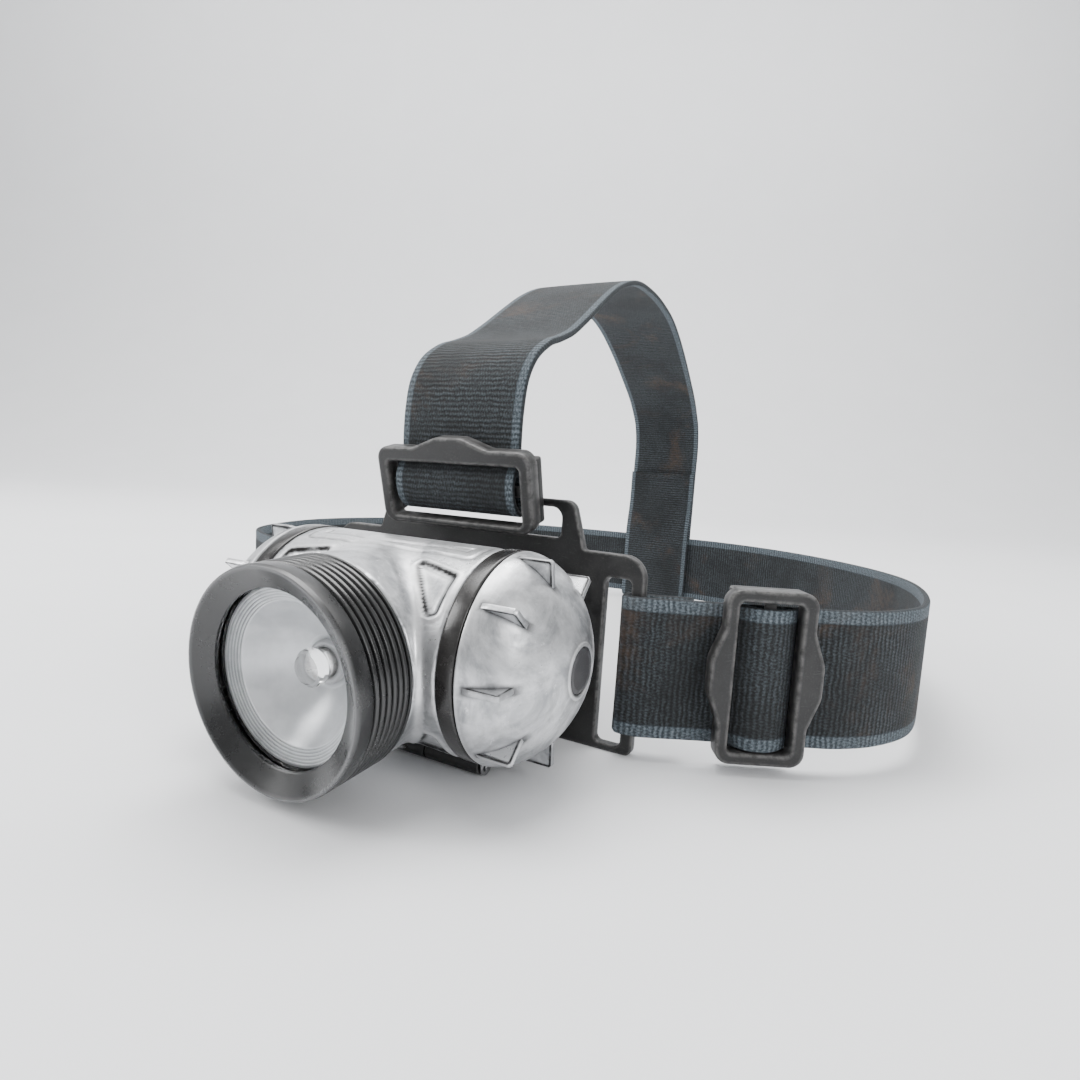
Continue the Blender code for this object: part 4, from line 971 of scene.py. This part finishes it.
def make_optics():
    """Lens over a satin reflector with moulded steps at its rim, and a small bulb."""
    lens = [(0, 29.9), (LENS_R, 29.9, 0.1), (LENS_R, 31.0, 0.15), (15.7, 31.25, 0.1), (13.0, 31.3, 0.3),
            (7.0, 31.42, 0.5), (0, 31.5)]
    turned("lens_glass", lens, LENS, "focus_carriage", FRONT, ("lens",), 128)
    bowl = [(3.95, 20.9, 0.1), (4.9, 21.1, 0.4), (6.4, 21.9, 0.6), (8.0, 23.0, 0.6), (9.6, 24.35, 0.6),
            (10.9, 25.75, 0.6),
            (12.0, 27.2, 0.5), (12.8, 28.3, 0.1)]
    rise = 0.26
    radius, height = 13.1, 28.35
    for _ in range(STEP_RINGS):
        bowl += [(radius, height, 0.05), (radius + 0.06, height + rise, 0.05)]
        bowl.append((radius + STEP_WIDTH, height + rise, 0.05))
        radius, height = radius + STEP_WIDTH, height + rise
    bowl += [(15.75, height, 0.05), (15.8, 29.2, 0.05), (LENS_R, 29.2, 0.05)]
    shell = [(LENS_R, 28.4), (13.9, 27.4), (12.9, 26.3), (10.2, 23.6), (7.2, 21.0), (3.95, 20.2)]

    # Painted shade lines at the steps' edges and round the bowl's central hole.
    def lines(radius, height):
        step = (radius - 13.1) / STEP_WIDTH
        if -0.3 < step < STEP_RINGS + 0.3 and height > 28.2:
            return 0.65 * near(step, round(step), 0.2)
        return 0.5 * near(radius, 4.0, 0.5)
    turned("reflector_bowl", bowl + shell, REFLECTOR, "focus_carriage", FRONT,
           ("reflector",), 128, rounding=0.15, grime_and_shade=lines)
    gasket = [(15.95, 29.35), (LENS_R, 29.35), (LENS_R, 29.75), (15.95, 29.75)]
    turned("lens_seat", gasket, RUBBER, "focus_carriage", FRONT, ("lens_gasket",), 96, 0.1)
    glass = [(0, 22.65), (2.2, 22.65, 0.2), (3.0, 23.1, 0.4), (3.5, 24.0, 0.6), (3.45, 24.9, 0.6),
             (2.7, 25.75, 0.6), (1.5, 26.15, 0.5), (0, 26.25)]
    turned("bulb_envelope", glass, BULB, "lamp", FRONT, ("bulb_glass",), 64)
    foot = [(0, 19.5), (2.5, 19.5, 0.2), (2.5, 20.4, 0.1), (2.3, 20.6, 0.1), (2.5, 20.8, 0.1),
            (2.5, 22.3, 0.2), (2.1, 22.5, 0.1), (0, 22.5)]
    turned("bulb_foot", foot, NICKEL, "lamp", FRONT, ("bulb_base",), 48, 0.15)


# ---- end caps ----
def dome(radius):
    sine = min(radius / CAP_R, 1.0) ** (CAP_POWER / 2)
    return CAP_BASE + CAP_DOME * max(1 - sine * sine, 0.0) ** (1 / CAP_POWER)


# Each point is (radius, along the cap).
FIN_OUTLINE = ((18.9, 28.6), (20.0, 28.6), (20.2, 30.0), (20.2, 35.1), (19.75, 35.6), (14.9, 35.6),
               (14.5, 34.6), (17.0, 31.5), (18.9, 29.9))


def fin_web(degrees, right):
    """One thin fin: a flat plate whose outline runs along the dome and stands proud of it."""
    outline = rounded([(*point, 0.25) for point in FIN_OUTLINE], 4)
    angle = math.radians(degrees)
    outwards = Vector((0, -math.cos(angle), math.sin(angle)))
    along = Vector((1 if right else -1, 0, 0))
    across = outwards.cross(along).normalized()
    half, edge = FIN_THICK / 2, 0.16
    # The third value darkens the plate along its border.
    rows = [(-half, edge + 0.5, 0.0), (-half, edge + 0.25, 1.0), (-half, edge, 0.9),
            (-half + edge * 0.3, edge * 0.3, 0.3), (-half + edge, 0.0, 0.1)]
    rows += [(-depth, inset, dark) for depth, inset, dark in rows[::-1]]
    vertices, grime_and_shade = [], []
    for depth, inset, dark in rows:
        for radius, height in moved_in(outline, inset):
            vertices.append(outwards * radius + along * height + across * depth)
            grime_and_shade.append(dark)
    count = len(outline)
    faces = grid_faces(len(rows), count, wrap_rows=False)
    faces.append(tuple(range(count - 1, -1, -1)))
    faces.append(tuple(range((len(rows) - 1) * count, len(rows) * count)))
    return vertices, faces, grime_and_shade


def make_cap(word, placed, right):
    bore = BUTTON_R + 0.25
    radii = [20.15, 20.0, 19.75, 19.4, 18.9, 18.2, 17.3, 16.2, 15.0, 13.6, 12.2, 10.8, 9.4, 8.2, 7.2, 6.4]
    outer = [(CAP_R - 0.35, CAP_START, 0.2), (CAP_R - 0.05, CAP_START + 0.3, 0.2)]
    outer += [(r, max(dome(r), CAP_START + 0.5), 0.3) for r in radii]
    rim = [(5.4, dome(5.4) + 0.01, 0.1), (5.15, dome(5.15) + 0.14, 0.1), (4.8, dome(4.8) + 0.14, 0.1),
           (bore, dome(bore) + 0.02, 0.1)]
    inner = [(bore, 39.2), (6.2, 39.0), (10.5, 37.0), (14.0, 34.2), (16.2, 32.4), (16.2, 29.95),
             (SPIGOT_R + GAP, 29.95), (SPIGOT_R + GAP, CAP_START)]
    profile = soften(outer + rim + inner, 0.2)
    area = sum(a[0] * b[1] - b[0] * a[1] for a, b in zip(profile, profile[1:] + profile[:1]))
    profile = profile if area > 0 else profile[::-1]
    segments = 240
    vertices, grime_and_shade, painted_highlight = [], [], []
    for radius, height in profile:
        for i in range(segments):
            a = 2 * math.pi * i / segments
            # The lamp's own frame: x along the cap, angles counted from the front upwards.
            outwards = height if right else -height
            vertices.append(Vector((outwards, -radius * math.cos(a), radius * math.sin(a))))
            # Painted shade with grime at the fins' roots, along the cap's lower rim and round the button's
            # rim.
            turn = min(abs((math.degrees(a) - fin + 180) % 360 - 180) for fin in FIN_ANGLES)
            gap = turn * radius * math.pi / 180
            beside_fins = (28.3 < height < 35.9) * (radius > 14.8)
            fin_root_shade = math.exp(-(max(gap - FIN_THICK / 2, 0) / 0.45) ** 2) * beside_fins
            rim_shade = math.exp(-((height - CAP_START) / 0.3) ** 2) * 0.6
            ring = math.exp(-((radius - 5.5) / 0.25) ** 2) * 0.5
            grime_and_shade.append(max(fin_root_shade * 0.75, rim_shade, ring) if height > CAP_START - 0.1 else 0.0)
            # Painted highlights on the button's rim and in a thin line at the dome's foot, beside the seal.
            lip_highlight = 0.5 * math.exp(-((radius - 5.0) / 0.3) ** 2) * (height > 40)
            painted_highlight.append(lip_highlight + 0.8 * near(height, 27.4, 0.35) * (radius > 19))
    faces = grid_faces(len(profile), segments, wrap_rows=True)
    for degrees in FIN_ANGLES:
        more, more_faces, dark = fin_web(degrees, right)
        base = len(vertices)
        vertices += more
        faces += [tuple(base + v for v in f) for f in more_faces]
        grime_and_shade += dark
        painted_highlight += [0.0] * len(more)
    made = make(f"{word}_cap_dome", [tuple(v) for v in vertices], faces, SILVER, f"{word}_end_cap",
                (f"{word}_cap",), LAMP, {"grime_and_shade": grime_and_shade, "painted_highlight": painted_highlight})
    outward(made)
    top = dome(bore)
    head = [(0, 37.9), (5.4, 37.9), (5.4, 38.7), (BUTTON_R, 38.7, 0.1), (BUTTON_R, top - 0.25, 0.3),
            (3.4, top, 0.6), (0, top + 0.05)]
    name, body, node = (("button_pad", "button", "power_button") if right
                        else ("plug_pad", "left_end_cap", "left_cap_plug"))
    turned(name, head, BUTTON, body, placed, (node,), 64)


# ---- CAD nodes that keep their shape ----
def dress_cad():
    slots = {s["node"]: s["material_slot"] for s in frame["record"]["subparts"]}
    bevels = {"tilt_foot": 0.3}
    for name, node in frame["nodes"].items():
        node.data.materials.clear()
        node.data.materials.append(PALE if name == "bulb_socket" else SLOT_LOOKS[slots[name]])
        node.data.polygons.foreach_set("use_smooth", np.ones(len(node.data.polygons), bool))
        weld = node.modifiers.new("weld", "WELD")
        weld.merge_threshold = 1e-6
        if name in bevels:
            flat = node.modifiers.new("flat", "DECIMATE")
            flat.decimate_type = "DISSOLVE"
            flat.angle_limit = math.radians(1.0)
            bevel = node.modifiers.new("edges", "BEVEL")
            bevel.width = bevels[name] * MM
            bevel.segments = 3
            bevel.limit_method = "ANGLE"
            bevel.angle_limit = math.radians(40)
            bevel.harden_normals = False
        node.modifiers.new("normals", "WEIGHTED_NORMAL")


# ---- surroundings ----
def make_stage():
    """A pale floor that sweeps up behind, so that no horizon shows."""
    profile = [(-1.6, 0.0), (0.9, 0.0)]
    for k in range(1, 25):
        a = math.radians(90 * k / 24)
        profile.append((0.9 + 0.9 * math.sin(a), 0.9 * (1 - math.cos(a))))
    profile.append((1.8, 2.6))
    turn = Matrix.Rotation(math.radians(27.6), 3, "Z")
    vertices, faces = [], []
    for depth, height in profile:
        for side in (-3.0, 3.0):
            vertices.append(tuple(turn @ Vector((side, depth, height + (FLOOR_Z - 0.02) * MM))))
    for i in range(len(profile) - 1):
        faces.append((2 * i, 2 * i + 1, 2 * i + 3, 2 * i + 2))
    mesh = bpy.data.meshes.new("floor")
    mesh.from_pydata(vertices, [], faces)
    floor = bpy.data.objects.new("floor", mesh)
    bpy.context.scene.collection.objects.link(floor)
    n = Nodes("pale_floor")
    cloud = n.noise(n.place((0.01, 0.01, 0.01)), 1.0, 2)
    n.set(Base_Color=n.mix(cloud, srgb(236, 237, 239), srgb(241, 242, 244)), Roughness=0.75)
    mesh.materials.append(n.material)
    smooth(mesh)


def area_light(name, place, aim, size, power, colour=(1, 1, 1)):
    data = bpy.data.lights.new(name, "AREA")
    data.shape = "RECTANGLE"
    data.size, data.size_y = size
    data.energy = power
    data.color = colour
    light = bpy.data.objects.new(name, data)
    bpy.context.scene.collection.objects.link(light)
    light.location = place
    light.rotation_mode = "QUATERNION"
    light.rotation_quaternion = (Vector(aim) - Vector(place)).to_track_quat("-Z", "Y")


def make_lights():
    world = bpy.data.worlds.new("studio")
    world.use_nodes = True
    tree = world.node_tree
    aim = tree.nodes.new("ShaderNodeSeparateXYZ")
    level = tree.nodes.new("ShaderNodeMapRange")
    shade = tree.nodes.new("ShaderNodeMix")
    shade.data_type = "RGBA"
    tree.links.new(tree.nodes.new("ShaderNodeTexCoord").outputs["Generated"], aim.inputs[0])
    tree.links.new(aim.outputs["Z"], level.inputs["Value"])
    level.inputs["From Min"].default_value = 0.05
    level.inputs["From Max"].default_value = 0.85
    tree.links.new(level.outputs["Result"], shade.inputs["Factor"])
    shade.inputs["A"].default_value = (0.40, 0.41, 0.42, 1)
    shade.inputs["B"].default_value = (1.0, 1.0, 1.0, 1)
    tree.links.new(shade.outputs["Result"], tree.nodes["Background"].inputs[0])
    tree.nodes["Background"].inputs[1].default_value = 0.95
    bpy.context.scene.world = world
    centre = (0.0, 0.02, 0.02)
    area_light("overhead", (-0.15, 0.1, 0.95), centre, (0.8, 0.6), 13.0)
    area_light("left_front", (-0.75, -0.55, 0.55), centre, (0.35, 0.5), 7.0)
    area_light("right_fill", (0.95, -0.35, 0.45), centre, (0.3, 0.5), 4.5)
    turn = Matrix.Rotation(math.radians(27.6), 3, "Z")
    area_light("backdrop", turn @ Vector((0, 0.75, 1.5)), turn @ Vector((0, 1.75, 0.45)), (3.0, 0.8), 34.0)


def make_camera():
    data = bpy.data.cameras.new("camera")
    data.sensor_width = 36.0
    data.lens = 21.667
    data.clip_start, data.clip_end = 0.01, 20.0
    camera = bpy.data.objects.new("camera", data)
    bpy.context.scene.collection.objects.link(camera)
    right, up, back = Vector((0.881562, 0.467436, 0.065974)), Vector((-0.103828, 0.055656, 0.993037)), \
        Vector((0.460509, -0.882273, 0.097597))
    pose = Matrix((right, up, back)).transposed().to_4x4()
    pose.translation = Vector((0.085638, -0.132166, 0.034386))
    camera.matrix_world = pose
    bpy.context.scene.camera = camera


make_camera()
make_stage()
make_lights()
make_straps()
make_bracket()
make_sliders()
make_housing()
make_seals()
make_bezel()
make_optics()
make_cap("right", RIGHT, True)
make_cap("left", LEFT, False)
dress_cad()
